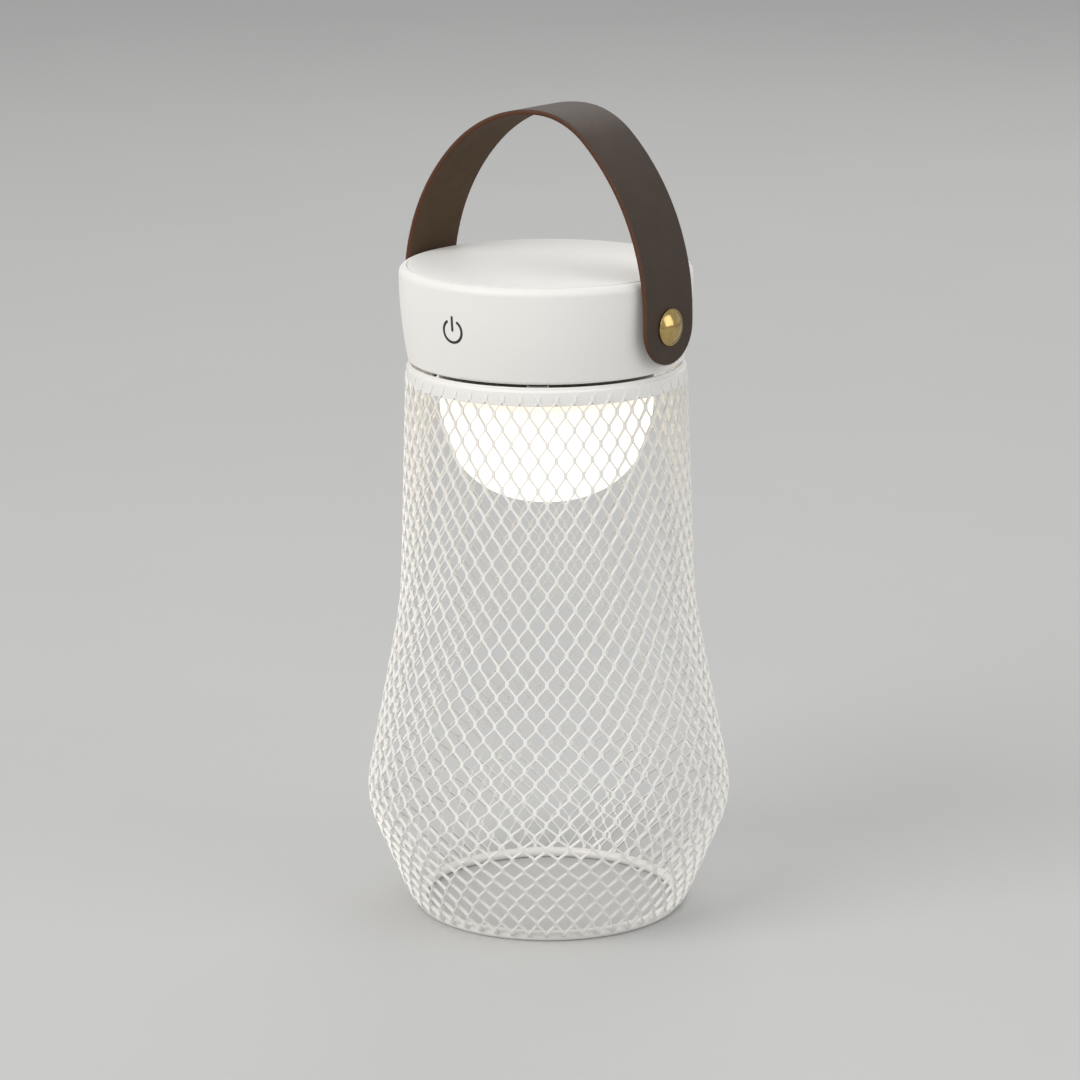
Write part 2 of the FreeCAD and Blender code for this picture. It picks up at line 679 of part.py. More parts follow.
def rounded_path(corners, radii):
    """Straight runs through the corners, each inner corner rounded by a tangent arc."""
    edges, start = [], corners[0]
    for before, corner, after, radius in zip(corners, corners[1:], corners[2:], radii):
        back, ahead = (before - corner).normalize(), (after - corner).normalize()
        half = back.getAngle(ahead) / 2
        first = corner + back * (radius / math.tan(half))
        last = corner + ahead * (radius / math.tan(half))
        middle = corner + (back + ahead).normalize() * (radius / math.sin(half) - radius)
        edges += [Part.LineSegment(start, first).toShape(), Part.Arc(first, middle, last).toShape()]
        start = last
    edges.append(Part.LineSegment(start, corners[-1]).toShape())
    return edges


def mesh_shade():
    """The skin of the mesh: a thin turned wall from the collar band to the foot ring.

    The real wall is an open lattice of about two thousand diamonds, far too fine for a solid here.
    """
    thickness, gap = number(cell("mesh_thickness")), number(cell("weld_gap"))
    top_radius = number(band_radius) + gap + thickness
    belly = Vector(number(cell("belly_radius")), 0, number(cell("belly_height")))
    ring = Vector(number(cell("ring_radius")), 0, number(cell("ring_lift")))
    # Below the belly the wall runs at a tangent past the foot ring, and ends just before it touches.
    to_ring, beside = ring - belly, number(cell("ring_wire")) + gap + thickness
    slant = math.atan2(to_ring.z, to_ring.x) + math.asin(beside / to_ring.Length)
    fall = math.sqrt(to_ring.Length ** 2 - beside ** 2) - number(cell("mesh_end"))
    foot = belly + Vector(math.cos(slant), 0, math.sin(slant)) * fall
    outside = rounded_path([
        Vector(top_radius, 0, number(mesh_top)),
        Vector(number(waist_radius), 0, number(cell("waist_height"))),
        belly, foot,
    ], (number(cell("waist_arc")), number(cell("belly_arc"))))
    wall = Part.Wire(outside).makeOffset2D(-thickness, 0, True, True)
    named(drawn(wall.revolve(Vector(0, 0, 0), Vector(0, 0, 1), 360)), "mesh_shade")


def foot_ring():
    """A ring of round wire, ground flat underneath where it stands."""
    wire = doc.addObject("Part::Torus", "Wire")
    bind(wire, "Radius1", cell("ring_radius"))
    bind(wire, "Radius2", cell("ring_wire"))
    placed(wire, (0, 0, cell("ring_lift")))
    below = cylinder(cell("ring_radius") * 2, cell("ring_wire") * 2, (0, 0, -2.0 * cell("ring_wire")))
    named(cut(wire, below), "foot_ring")


# Battery tray and electronics -----------------------------------------------------------------------------

def frame_screw_points():
    return [(ear_offset, Size.of(0)), (-ear_offset, Size.of(0)),
            (Size.of(0), board_post_line + cell("small_screw"))]


def board_posts():
    return [(sign * cell("board_post_offset"), board_post_line) for sign in (RIGHT, LEFT)]


def battery_tray():
    """A moulded tray: two cradled cells, two ears and a tongue with the posts of the control board."""
    groove, floor, ear = cell("cell_radius") + cell("cell_gap"), cell("tray_floor"), cell("ear_radius")
    length = cell("cell_length") + 2 * cell("cell_end_gap")
    full_width = cell("cell_spacing") + 2 * groove + 2 * cell("tray_wall")
    parts = [middle_box(length + 2 * cell("tray_wall"), full_width, cell("tray_height"), (0, 0), plate_top)]
    tongue_width = 2 * (cell("board_post_offset") + cell("board_post_radius"))
    tongue_end = board_post_line + cell("board_post_radius") + cell("tongue_margin")
    parts.append(box(tongue_width, tongue_end, floor, (-tongue_width / 2, 0, plate_top)))
    parts.append(middle_box(2 * ear_offset, 2 * ear, floor, (0, 0), plate_top))
    parts += [cylinder(ear, floor, (*point, plate_top)) for point in frame_screw_points()[:2]]
    parts += [cylinder(cell("board_post_radius"), board_bottom - plate_top, (*point, plate_top))
              for point in board_posts()]
    cuts = [cylinder(groove, length, (-length / 2, sign * cell("cell_spacing") / 2, cell_level), "+X")
            for sign in (RIGHT, LEFT)]
    cuts.append(cylinder(cell("lead_hole"), floor, (0, lead_hole_line, plate_top)))
    cuts += [cylinder(small_hole, floor, (*point, plate_top)) for point in frame_screw_points()]
    pilot_depth = cell("small_length") + cell("pilot_extra")
    cuts += [cylinder(small_hole, pilot_depth, (*point, board_bottom - pilot_depth))
             for point in board_posts()]
    named(cut(fuse(*parts), *cuts), "battery_tray")
    named(group(*[small_screw((*point, plate_top + floor), "+Z", cell("small_length"))
                  for point in frame_screw_points()]), "tray_screws")


def battery():
    length = cell("cell_length")
    named(group(*[cylinder(cell("cell_radius"), length,
                           (-length / 2, sign * cell("cell_spacing") / 2, cell_level), "+X")
                  for sign in (RIGHT, LEFT)]), "battery_cells")
    thick, wide, high = cell("strip_thickness"), cell("strip_width"), cell("strip_height")
    named(group(*[box(thick, wide, high, (x, -wide / 2, cell_level - high / 2))
                  for x in (length / 2, -length / 2 - thick)]), "cell_strips")
    named(middle_box(cell("foam_length"), cell("foam_width"), cover_seat - cell_top, (0, 0), cell_top),
          "battery_foam")


def control_board():
    width, thickness = cell("board_width"), cell("board_thickness")
    holes = [cylinder(small_hole, thickness, (*point, board_bottom)) for point in board_posts()]
    board = box(width, cell("board_length"), thickness, (-width / 2, board_inner, board_bottom))
    named(cut(board, *holes), "control_board")
    named(group(*[small_screw((*point, board_top), "+Z", cell("small_length")) for point in board_posts()]),
          "board_screws")
    # Each kind: length, width and height, then its places across and behind the board's inner edge.
    kinds = (
        ((10.0, 4.0, 4.0), ((0, 3.0),)),
        ((5.0, 5.0, 2.8), ((0, 9.5),)),
        ((4.0, 4.0, 0.9), ((-9.5, 14.0), (9.5, 13.0))),
        ((1.6, 1.6, 0.6), ((number(cell("light_offset")), 18.5),)),
        ((1.6, 0.8, 0.8), ((-4.0, 14.0), (-1.5, 14.0), (1.0, 14.0))),
    )
    named(group(*[middle_box(*size, (across, board_inner + behind), board_top)
                  for size, places in kinds for across, behind in places]), "board_components")


def usb_socket():
    width, height, depth = cell("port_width"), cell("port_height"), cell("port_depth")
    wall, back, tall = cell("port_wall"), cell("port_back"), cell("tongue_height")
    start = port_mouth - depth
    outer = stadium(width, height, depth, start)
    inner = stadium(width - 2 * wall, height - 2 * wall, depth - back, start + back)
    tongue = box(cell("tongue_width"), depth - 2 * back, tall,
                 (-cell("tongue_width") / 2, start + back / 2, pivot_height - tall / 2))
    named(fuse(cut(outer, inner), tongue), "usb_socket")


def charge_light():
    offset, face = cell("light_offset"), side_radius(pivot_height)
    flush = root(face * face - offset * offset) - cell("light_sink")
    named(cylinder(cell("light_radius"), flush - light_inner, (offset, light_inner, pivot_height), "+Y"),
          "charge_light_pipe")


def leads():
    """Leads run straight, then turn in small tangent arcs, clear of everything they pass."""
    radius, bend = number(cell("lead_radius")), number(cell("lead_bend"))
    # From the strips on the cells' ends round the tray to both sides of the plug on the board.
    end = number(cell("cell_length") / 2 + cell("strip_thickness"))
    level, start_line, clear_of_cells = number(board_top) + 1.6, 11.0, 4.2
    plug_line, plug_side = number(board_inner) + 3.0, 5.0
    turn_x = end + clear_of_cells
    wires = [lead([(sign * x, y, level) for x, y in (
        (end, start_line), (turn_x, start_line), (turn_x, plug_line), (plug_side, plug_line))], radius, bend)
        for sign in (LEFT, RIGHT)]
    named(drawn(Part.makeCompound(wires)), "battery_leads")
    # Straight down through the hole in tray and plate.
    named(group(*[cylinder(cell("lead_radius"), board_bottom - plate_bottom,
                           (sign * cell("lead_spread"), lead_hole_line, plate_bottom))
                  for sign in (RIGHT, LEFT)]), "led_leads")
    # From the touch pad over the cells, beside the foam, and down to the board.
    wall_face = side_radius(pivot_height) - cell("head_wall")
    pad_face = number(wall_face - cell("pad_glue") - cell("pad_thickness"))
    pad_level, over = number(pivot_height) + 1.5, number(cell_top) + 2.6
    before_cells, on_cells, beside_foam = -36.0, -27.0, number(cell("foam_length")) / 2 + 5.0
    foam_end, drop_x, drop_line = plug_line - 3.0, 6.0, plug_line + 8.0
    named(drawn(lead([
        (0, -pad_face, pad_level), (0, before_cells, pad_level), (beside_foam, on_cells, over),
        (beside_foam, foam_end, over), (drop_x, drop_line, over), (drop_x, drop_line, number(board_top)),
    ], number(cell("touch_lead_radius")), bend)), "touch_lead")


# Build, check and write -----------------------------------------------------------------------------------

NODES = """head_housing top_cover power_symbol touch_pad rivet_right rivet_left rivet_burrs pivot_washers
handle_strap base_plate led_board led_chips led_board_screws diffuser_dome diffuser_screws collar_band
collar_spacers collar_screws mesh_shade foot_ring battery_tray tray_screws battery_cells cell_strips
battery_foam control_board board_screws board_components usb_socket charge_light_pipe battery_leads
led_leads touch_lead""".split()

for make in (head_housing, top_cover, power_symbol, touch_pad, rivets, rivet_washers, handle_strap,
             base_plate, led_board, diffuser_dome, collar_band, mesh_shade, foot_ring, battery_tray, battery,
             control_board, usb_socket, charge_light, leads):
    make()
doc.recompute()

for item in doc.Objects:
    if "Invalid" in item.State or "Error" in item.State:
        raise RuntimeError(f"{item.Name} ({item.Label}) failed: {item.State}")
by_label = {item.Label: item for item in doc.Objects}
os.makedirs("parts", exist_ok=True)
for node in NODES:
    shape = by_label[node].Shape
    if shape.isNull() or not shape.isValid() or shape.Volume <= 0:
        raise RuntimeError(f"{node} has no sound solid")
    shape.exportStep(f"parts/{node}.step")
    extent = shape.BoundBox
    print(f"{node:20s} {len(shape.Solids)} solids {shape.Volume:10.1f} mm3 "
          f"{extent.XLength:.2f} x {extent.YLength:.2f} x {extent.ZLength:.2f} from z {extent.ZMin:.2f}")
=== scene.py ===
import json
import math
import bmesh
import bpy
from mathutils import Matrix, Vector, noise
from mathutils.bvhtree import BVHTree
from mathutils.geometry import delaunay_2d_cdt


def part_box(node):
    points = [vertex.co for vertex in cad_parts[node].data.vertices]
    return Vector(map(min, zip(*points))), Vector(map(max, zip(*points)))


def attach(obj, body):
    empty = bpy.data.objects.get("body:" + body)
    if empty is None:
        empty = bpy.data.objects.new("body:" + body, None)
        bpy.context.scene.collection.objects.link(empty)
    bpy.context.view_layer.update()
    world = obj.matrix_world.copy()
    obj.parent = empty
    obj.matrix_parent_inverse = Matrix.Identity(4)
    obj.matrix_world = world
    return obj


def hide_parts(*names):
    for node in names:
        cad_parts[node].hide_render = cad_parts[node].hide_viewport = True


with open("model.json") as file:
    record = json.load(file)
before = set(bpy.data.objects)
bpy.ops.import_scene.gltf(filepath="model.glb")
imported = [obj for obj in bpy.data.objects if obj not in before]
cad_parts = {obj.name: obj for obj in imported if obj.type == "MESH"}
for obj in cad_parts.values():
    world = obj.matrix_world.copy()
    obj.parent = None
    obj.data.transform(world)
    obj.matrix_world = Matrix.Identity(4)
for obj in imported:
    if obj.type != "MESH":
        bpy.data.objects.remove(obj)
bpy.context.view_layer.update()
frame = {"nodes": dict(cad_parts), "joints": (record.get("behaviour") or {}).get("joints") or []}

# The looks of the lantern table lamp, piece by piece from the foot up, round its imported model. Metres, +Z up.
# The strap's rivets lie on X and the touch mark faces -Y.

# Foot ring ------------------------------------------------------------------------------------------------
# A closed ring of round steel wire that the lamp stands on, ground flat underneath. It is welded to the mesh
# and powder coated with it in a warm white.

MM = 0.001
ring_wire = 1.75 * MM
ring_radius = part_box("foot_ring")[1].x - ring_wire
ring_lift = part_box("foot_ring")[1].z - ring_wire


class Socket:
    """What a node puts out. Arithmetic on it adds Math nodes to the same tree."""

    def __init__(self, tree, socket):
        self.tree = tree
        self.socket = socket

    def math(self, operation, *others):
        """A Math node of this value and the others, in that order."""
        return self.tree.math(operation, self, *others)

    def __add__(self, other):
        return self.math("ADD", other)

    def __sub__(self, other):
        return self.math("SUBTRACT", other)

    def __mul__(self, other):
        return self.math("MULTIPLY", other)

    def __truediv__(self, other):
        return self.math("DIVIDE", other)

    def __rsub__(self, other):
        return self.tree.math("SUBTRACT", other, self)

    def __rtruediv__(self, other):
        return self.tree.math("DIVIDE", other, self)

    def __mod__(self, other):
        return self.math("FLOORED_MODULO", other)

    def __pow__(self, other):
        return self.math("POWER", other)

    __radd__ = __add__
    __rmul__ = __mul__

    def between(self, low, high):
        """Held between two limits."""
        return self.math("MINIMUM", high).math("MAXIMUM", low)

    def share(self, start, end):
        """0 at the start, 1 at the end and outside them the nearer of the two."""
        return ((self - start) / (end - start)).between(0.0, 1.0)


class Tree:
    """A node tree that grows by one method."""

    def __init__(self, tree):
        self.tree = tree

    def put(self, socket, value):
        if isinstance(value, Socket):
            self.tree.links.new(value.socket, socket)
        elif socket.type == "RGBA":
            socket.default_value = (*value[:3], 1.0)
        else:
            socket.default_value = value

    def node(self, kind, settings=None, sockets=None):
        """Adds a node: its settings first, then the values or links of its sockets by name or number."""
        made = self.tree.nodes.new(kind)
        for name, value in (settings or {}).items():
            if name == "stops":
                for place, _ in value[2:]:
                    made.color_ramp.elements.new(place)
                for element, (place, colour) in zip(made.color_ramp.elements, sorted(value)):
                    element.position, element.color = place, (*colour, 1.0)
            else:
                setattr(made, name, value)
        for name, value in (sockets or {}).items():
            if isinstance(name, str):
                self.put(next(s for s in made.inputs if s.name == name and s.enabled), value)
            else:
                self.put(made.inputs[name], value)
        return {s.name: Socket(self, s) for s in made.outputs if s.enabled}

    def math(self, operation, *values):
        return self.node("ShaderNodeMath", {"operation": operation}, dict(enumerate(values)))["Value"]


class Finish(Tree):
    """A material: one Principled shader, its fixed values, and what varies over the surface.

    place is the position on the object in millimetres.
    """

    def __init__(self, name, fixed):
        self.material = bpy.data.materials.new(name)
        self.material.use_nodes = True
        super().__init__(self.material.node_tree)
        self.shader = next(n for n in self.tree.nodes if n.type == "BSDF_PRINCIPLED")
        self.vary(fixed)
        here = self.node("ShaderNodeTexCoord")["Object"]
        self.place = self.node("ShaderNodeVectorMath", {"operation": "SCALE"},
                               {"Vector": here, "Scale": 1 / MM})["Vector"]

    def vary(self, sockets):
        for name, value in sockets.items():
            self.put(self.shader.inputs[name], value)

    def axes(self):
        parts = self.node("ShaderNodeSeparateXYZ", {}, {"Vector": self.place})
        return parts["X"], parts["Y"], parts["Z"]

    def stretched(self, x, y, z):
        """The place with each axis multiplied, for grain that runs one way."""
        return self.node("ShaderNodeVectorMath", {"operation": "MULTIPLY"},
                         {0: self.place, 1: (x, y, z)})["Vector"]

    def cloud(self, size, detail=2.0, place=None):
        """Soft noise from 0 to 1 whose blotches are about that many millimetres."""
        return self.node("ShaderNodeTexNoise", {}, {
            "Vector": place or self.place, "Scale": 1 / size, "Detail": detail, "Roughness": 0.55})["Fac"]

    def cells(self, size, feature="F1", place=None):
        """Distance within cells of about that many millimetres."""
        return self.node("ShaderNodeTexVoronoi", {"feature": feature}, {
            "Vector": place or self.place, "Scale": 1 / size})["Distance"]

    def kept(self, name):
        """A number that the mesh keeps at each point."""
        return self.node("ShaderNodeAttribute", {"attribute_name": name})["Fac"]

    def blend(self, share, first, second):
        """From the first colour at 0 to the second at 1."""
        return self.node("ShaderNodeMix", {"data_type": "RGBA"}, {
            "Factor": share, "A": first, "B": second})["Result"]

    def relief(self, height, depth):
        """Bumps that many millimetres deep."""
        self.vary({"Normal": self.node("ShaderNodeBump", {}, {
            "Height": height, "Distance": depth * MM, "Strength": 1.0})["Normal"]})


def shade(colour, factor):
    """A colour made darker or lighter by a factor."""
    return tuple(c * factor for c in colour)


def stood(name, data):
    """A new object of that data, in the scene at the origin."""
    made = bpy.data.objects.new(name, data)
    bpy.context.scene.collection.objects.link(made)
    return made


def piece(name, points, faces, finish, crease=35, marks=None):
    """A mesh object from its points and faces, turned outwards, smooth up to the crease angle.

    marks are numbers kept at each point by name.
    """
    mesh = bpy.data.meshes.new(name)
    mesh.from_pydata(points, [], faces)
    for label, values in (marks or {}).items():
        mesh.attributes.new(label, "FLOAT", "POINT").data.foreach_set("value", values)
    shape = bmesh.new()
    shape.from_mesh(mesh)
    bmesh.ops.remove_doubles(shape, verts=shape.verts, dist=0.001 * MM)
    bmesh.ops.recalc_face_normals(shape, faces=shape.faces)
    shape.to_mesh(mesh)
    shape.free()
    mesh.shade_smooth()
    mesh.set_sharp_from_angle(angle=math.radians(crease))
    mesh.materials.append(finish.material)
    return stood(name, mesh)


def turned_faces(outline, around):
    """Points and faces of a closed outline of (radius, height) turned about Z."""
    corners = len(outline)
    points, faces = [], []
    for step in range(around):
        angle = 2 * math.pi * step / around
        points += [(r * math.cos(angle), r * math.sin(angle), z) for r, z in outline]
        here, there = step * corners, (step + 1) % around * corners
        for corner in range(corners):
            after = (corner + 1) % corners
            faces.append((here + corner, there + corner, there + after, here + after))
    return points, faces


def arc(centre, radius, start, end, steps=6):
    """Points of an arc between two angles in degrees, both ends included."""
    angles = [math.radians(start + (end - start) * i / steps) for i in range(steps + 1)]
    return [(centre[0] + radius * math.cos(a), centre[1] + radius * math.sin(a)) for a in angles]


def settle(made, body, slot, *nodes):
    """The piece rides on a body and stands for CAD nodes, which it hides. Its slot argument is not used."""
    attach(made, body)
    if nodes:
        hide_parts(*nodes)


warm_white = (0.80, 0.785, 0.755)
coat = Finish("white_powder_coat", {"IOR": 1.5, "Coat Weight": 0.12, "Coat Roughness": 0.18})
coat_tone = coat.cloud(14.0, 3.0) * 0.6 + coat.cloud(1.1) * 0.4
coat.vary({
    "Base Color": coat.blend(coat_tone, shade(warm_white, 0.95), shade(warm_white, 1.03)),
    "Roughness": 0.30 + 0.16 * coat.cloud(0.8, 3.0),
})
coat.relief(coat.cloud(0.55, 1.0), 0.02)

flat = math.degrees(math.asin(ring_lift / ring_wire))
wire_outline = arc((ring_radius, ring_lift), ring_wire, -flat, 180 + flat, 30)
foot_ring = piece("foot_ring_wire", *turned_faces(wire_outline, 256), coat)
settle(foot_ring, "lamp", "white_coat", "foot_ring")

# Mesh shade -----------------------------------------------------------------------------------------------
# One piece of expanded steel sheet, rolled up and stretched over a former, so that it flares from the collar
# to the belly and draws in again to the foot. Fifty diamonds go round, and the strands keep their length.

columns = 50
strand_length = 5.83 * MM
strand_width = 0.76 * MM
strand_depth = 0.9 * MM
bond_half = 0.85 * MM
bond_offset = 0.27 * MM
strand_inset = 0.5 * MM
first_knuckle = 2.41 * MM
ring_touch = 0.35 * MM
top_weld = 0.35 * MM
cut_bond = 0.1 * MM
end_in_ring = Vector((0.75 * MM, -0.35 * MM))
strand_tilt = math.radians(14)
strand_squareness = 0.44
strand_merge = 0.01 * MM
corner_rise = math.sin(math.radians(60))
knuckle_turn = math.radians(-50.8)
shade_twist = math.radians(-1.5)
shade_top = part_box("mesh_shade")[1].z
shade_corners = [
    Vector((47.25 * MM, shade_top)),
    Vector((49.9 * MM, 108.0 * MM)),
    Vector((63.1 * MM, 39.0 * MM)),
]
shade_radii = (138.0 * MM, 28.5 * MM)
ring_centre = Vector((ring_radius, ring_lift))
beside_ring = ring_wire + 1.25 * MM


class Recipe(Tree):
    """A Geometry Nodes tree with named inputs, which makes plain meshes."""

    def __init__(self, name, inputs):
        group = bpy.data.node_groups.new(name, "GeometryNodeTree")
        super().__init__(group)
        self.sockets = {}
        for label, kind in {"Source": "NodeSocketGeometry", **inputs}.items():
            made = group.interface.new_socket(label, in_out="INPUT", socket_type=kind)
            self.sockets[label] = made.identifier
        group.interface.new_socket("Result", in_out="OUTPUT", socket_type="NodeSocketGeometry")
        self.inputs = self.node("NodeGroupInput")

    def attribute(self, name, kind="FLOAT"):
        return self.node("GeometryNodeInputNamedAttribute", {"data_type": kind}, {"Name": name})["Attribute"]

    def store(self, geometry, name, value, kind="FLOAT"):
        return self.node("GeometryNodeStoreNamedAttribute", {"data_type": kind, "domain": "POINT"}, {
            "Geometry": geometry, "Name": name, "Value": value})["Geometry"]

    def sample(self, value, number):
        """What a value is at the numbered point of the source."""
        return self.node("GeometryNodeSampleIndex", {"data_type": "FLOAT", "domain": "POINT"}, {
            "Geometry": self.inputs["Source"], "Value": value, "Index": number})["Value"]

    def result(self, geometry):
        """Ends the tree: instances made real, with the finish set."""
        real = self.node("GeometryNodeRealizeInstances", {}, {"Geometry": geometry})["Geometry"]
        done = self.node("GeometryNodeSetMaterial", {}, {"Geometry": real, "Material": self.inputs["Finish"]})
        self.node("NodeGroupOutput", {}, {"Result": done["Geometry"]})

    def make(self, name, source, values):
        """Runs the tree on a mesh and returns what comes out as an object of its own."""
        carrier = stood("carrier", source)
        modifier = carrier.modifiers.new("recipe", "NODES")
        modifier.node_group = self.tree
        for label, value in values.items():
            modifier[self.sockets[label]] = value
        found = carrier.evaluated_get(bpy.context.evaluated_depsgraph_get())
        mesh = bpy.data.meshes.new_from_object(found)
        bpy.data.objects.remove(carrier)
        mesh.name = name
        return stood(name, mesh)


def rounded_line(corners, radii, steps=60):
    """Points along straight runs whose inner corners are rounded by tangent arcs."""
    points = [corners[0]]
    for before, corner, after, radius in zip(corners, corners[1:], corners[2:], radii):
        back, ahead = (before - corner).normalized(), (after - corner).normalized()
        half = back.angle(ahead) / 2
        centre = corner + (back + ahead).normalized() * (radius / math.sin(half))
        first = corner + back * (radius / math.tan(half)) - centre
        last = corner + ahead * (radius / math.tan(half)) - centre
        points += [centre + first.slerp(last, step / steps) * radius for step in range(steps + 1)]
    return points + [corners[-1]]


def at_length(points, length):
    """The point at a length along a line of points, and the outward direction there."""
    for start, end in zip(points, points[1:]):
        run = (end - start).length
        if length <= run or end is points[-1]:
            along = (end - start).normalized()
            return start + along * length, Vector((-along.y, along.x))
        length -= run


def shade_line():
    """The outer line of the shade, which passes beside the foot ring at a tangent."""
    belly = shade_corners[-1]
    to_ring = ring_centre - belly
    slant = math.atan2(to_ring.y, to_ring.x) + math.asin(beside_ring / to_ring.length)
    fall = math.sqrt(to_ring.length ** 2 - beside_ring ** 2)
    foot = belly + Vector((math.cos(slant), math.sin(slant))) * fall
    return rounded_line([*shade_corners, foot], shade_radii)


def knuckle_rows():
    """Centre line points of the strands: the cut top, each row of knuckles and the end in the foot ring.

    A row is as far below the last as strands of one length reach, where they span half a column.
    """
    line = shade_line()
    whole = sum((b - a).length for a, b in zip(line, line[1:]))
    rows = [at_length(line, 0.0)]
    length = first_knuckle
    while length < whole:
        rows.append(at_length(line, length))
        half_column = math.pi * (rows[-1][0].x - strand_inset) / columns
        length += math.sqrt(strand_length ** 2 - half_column ** 2)
    insets = [strand_inset + top_weld] + [strand_inset] * (len(rows) - 2) + [strand_inset + ring_touch]
    rows = [(point - outward * inset, outward) for (point, outward), inset in zip(rows, insets)]
    return rows + [(ring_centre + end_in_ring, rows[-1][1])]


def row_mesh(rows):
    """The rows as loose points, with what each gap below a row needs: lean at its start and end, and bond."""
    mesh = bpy.data.meshes.new("rows")
    mesh.from_pydata([(point.x, 0.0, point.y) for point, _ in rows], [], [])
    last = len(rows) - 2
    leans = [(0.5, 1.0) if i == 0 else (0.0, 0.0) if i >= last else (0.0, 1.0) for i in range(len(rows))]
    for name, values in (
            ("out_across", [outward.x for _, outward in rows]),
            ("out_up", [outward.y for _, outward in rows]),
            ("lean_start", [lean[0] for lean in leans]),
            ("lean_end", [lean[1] for lean in leans]),
            ("bond_start", [cut_bond if i in (0, last) else bond_half for i in range(len(rows))]),
            ("bond_end", [cut_bond if i >= last else bond_half for i in range(len(rows))])):
        mesh.attributes.new(name, "FLOAT", "POINT").data.foreach_set("value", values)
    return mesh


def lattice_recipe():
    """Each strand is a six-sided bar of four rings. Its number gives its side, column and row."""
    numbers = {name: "NodeSocketFloat" for name in (
        "Rows", "Columns", "Width", "Depth", "Bond Offset", "Turn", "Twist", "Tilt")}
    tree = Recipe("lattice", {**numbers, "Finish": "NodeSocketMaterial"})
    get = tree.inputs
    count = get["Rows"] * get["Columns"] * 2.0
    points = tree.node("GeometryNodePoints", {}, {"Count": count})["Points"]
    points = tree.store(points, "strand", tree.node("GeometryNodeInputIndex")["Index"])
    bar = tree.node("GeometryNodeMeshCylinder", {"fill_type": "NONE"}, {
        "Vertices": 6, "Side Segments": 3, "Radius": 1.0, "Depth": 3.0})["Mesh"]
    position = tree.node("GeometryNodeInputPosition")["Position"]
    bar = tree.store(bar, "local", position, "FLOAT_VECTOR")
    bars = tree.node("GeometryNodeInstanceOnPoints", {}, {"Points": points, "Instance": bar})["Instances"]
    bars = tree.node("GeometryNodeRealizeInstances", {}, {"Geometry": bars})["Geometry"]

    strand = tree.attribute("strand")
    local = tree.node("ShaderNodeSeparateXYZ", {}, {"Vector": tree.attribute("local", "FLOAT_VECTOR")})
    side = (strand % 2.0) * 2.0 - 1.0
    pair = (strand / 2.0).math("FLOOR")
    column = pair % get["Columns"]
    round_guard = 0.0001
    row = (pair / get["Columns"] + round_guard).math("FLOOR")
    ring = local["Z"] + 1.5

    below = row + 1.0
    place = tree.node("ShaderNodeSeparateXYZ", {}, {"Vector": position})
    across_1, across_2 = tree.sample(place["X"], row), tree.sample(place["X"], below)
    up_1, up_2 = tree.sample(place["Z"], row), tree.sample(place["Z"], below)
    fall = ((across_2 - across_1) ** 2.0 + (up_2 - up_1) ** 2.0) ** 0.5

    def of_row(name, number=row):
        return tree.sample(tree.attribute(name), number)

    bond_1, bond_2 = of_row("bond_start"), of_row("bond_end")
    reach = fall - bond_1 - bond_2
    first, middle, last = ((ring - start).between(0.0, 1.0) for start in (0.0, 1.0, 2.0))
    share = (bond_1 * first + reach * middle + bond_2 * last) / fall
    lean_1, lean_2 = of_row("lean_start"), of_row("lean_end")
    lean = lean_1 + (lean_2 - lean_1) * middle

    def mixed(start, end):
        return start + (end - start) * share

    out_across = mixed(of_row("out_across"), of_row("out_across", below))
    out_up = mixed(of_row("out_up"), of_row("out_up", below))
    # The flat of a strand is turned by the tilt, so that its outer edge lies lower than its inner one.
    tilt_sine, tilt_cosine = get["Tilt"].math("SINE"), get["Tilt"].math("COSINE")
    square = 1.0 + strand_squareness * local["Y"].math("ABSOLUTE") / corner_rise
    side_step = local["X"] * square * get["Width"] * 0.5
    depth_step = local["Y"] * get["Depth"] * 0.5 / corner_rise
    radius = mixed(across_1, across_2) + depth_step * (out_across * tilt_cosine - out_up * tilt_sine)
    height = mixed(up_1, up_2) + depth_step * (out_up * tilt_cosine - out_across * tilt_sine)
    pitch = 2 * math.pi / get["Columns"]
    turn = get["Turn"] + get["Twist"] * (row + share) / get["Rows"]
    angle = turn + pitch * (column + (row % 2.0) * 0.5 + side * lean * 0.5)
    angle = angle + (side * get["Bond Offset"] * (1.0 - lean * 2.0) + side_step) / radius
    target = tree.node("ShaderNodeCombineXYZ", {}, {
        "X": radius * angle.math("COSINE"), "Y": radius * angle.math("SINE"), "Z": height})
    bars = tree.node("GeometryNodeSetPosition", {}, {"Geometry": bars, "Position": target["Vector"]})
    bars = tree.node("GeometryNodeMergeByDistance", {}, {
        "Geometry": bars["Geometry"], "Distance": strand_merge})["Geometry"]
    for name in ("local", "strand"):
        bars = tree.node("GeometryNodeRemoveAttribute", {}, {"Geometry": bars, "Name": name})["Geometry"]
    tree.result(bars)
    return tree


rows = knuckle_rows()
lattice = lattice_recipe().make("shade_lattice", row_mesh(rows), {
    "Rows": float(len(rows) - 1), "Columns": float(columns), "Width": strand_width, "Depth": strand_depth,
    "Bond Offset": bond_offset, "Turn": knuckle_turn, "Twist": shade_twist, "Tilt": strand_tilt,
    "Finish": coat.material})
settle(lattice, "lamp", "white_coat", "mesh_shade")

# Collar band ----------------------------------------------------------------------------------------------
# A steel band that the mesh is welded round, with four tabs folded in at its top for the screws. The coat
# fills the diamonds over the band, so that there the strands show as low ridges.

band_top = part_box("collar_band")[1].z
band_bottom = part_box("collar_band")[0].z
band_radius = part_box("collar_band")[1].x
band_thickness = 1.0 * MM
band_filled = band_radius + 0.9 * MM
band_edge = 0.35 * MM
tab_width = 7.0 * MM
tab_hole = 1.55 * MM
tie_ring = 40.6 * MM
tie_angles = (55, 125, 235, 305)

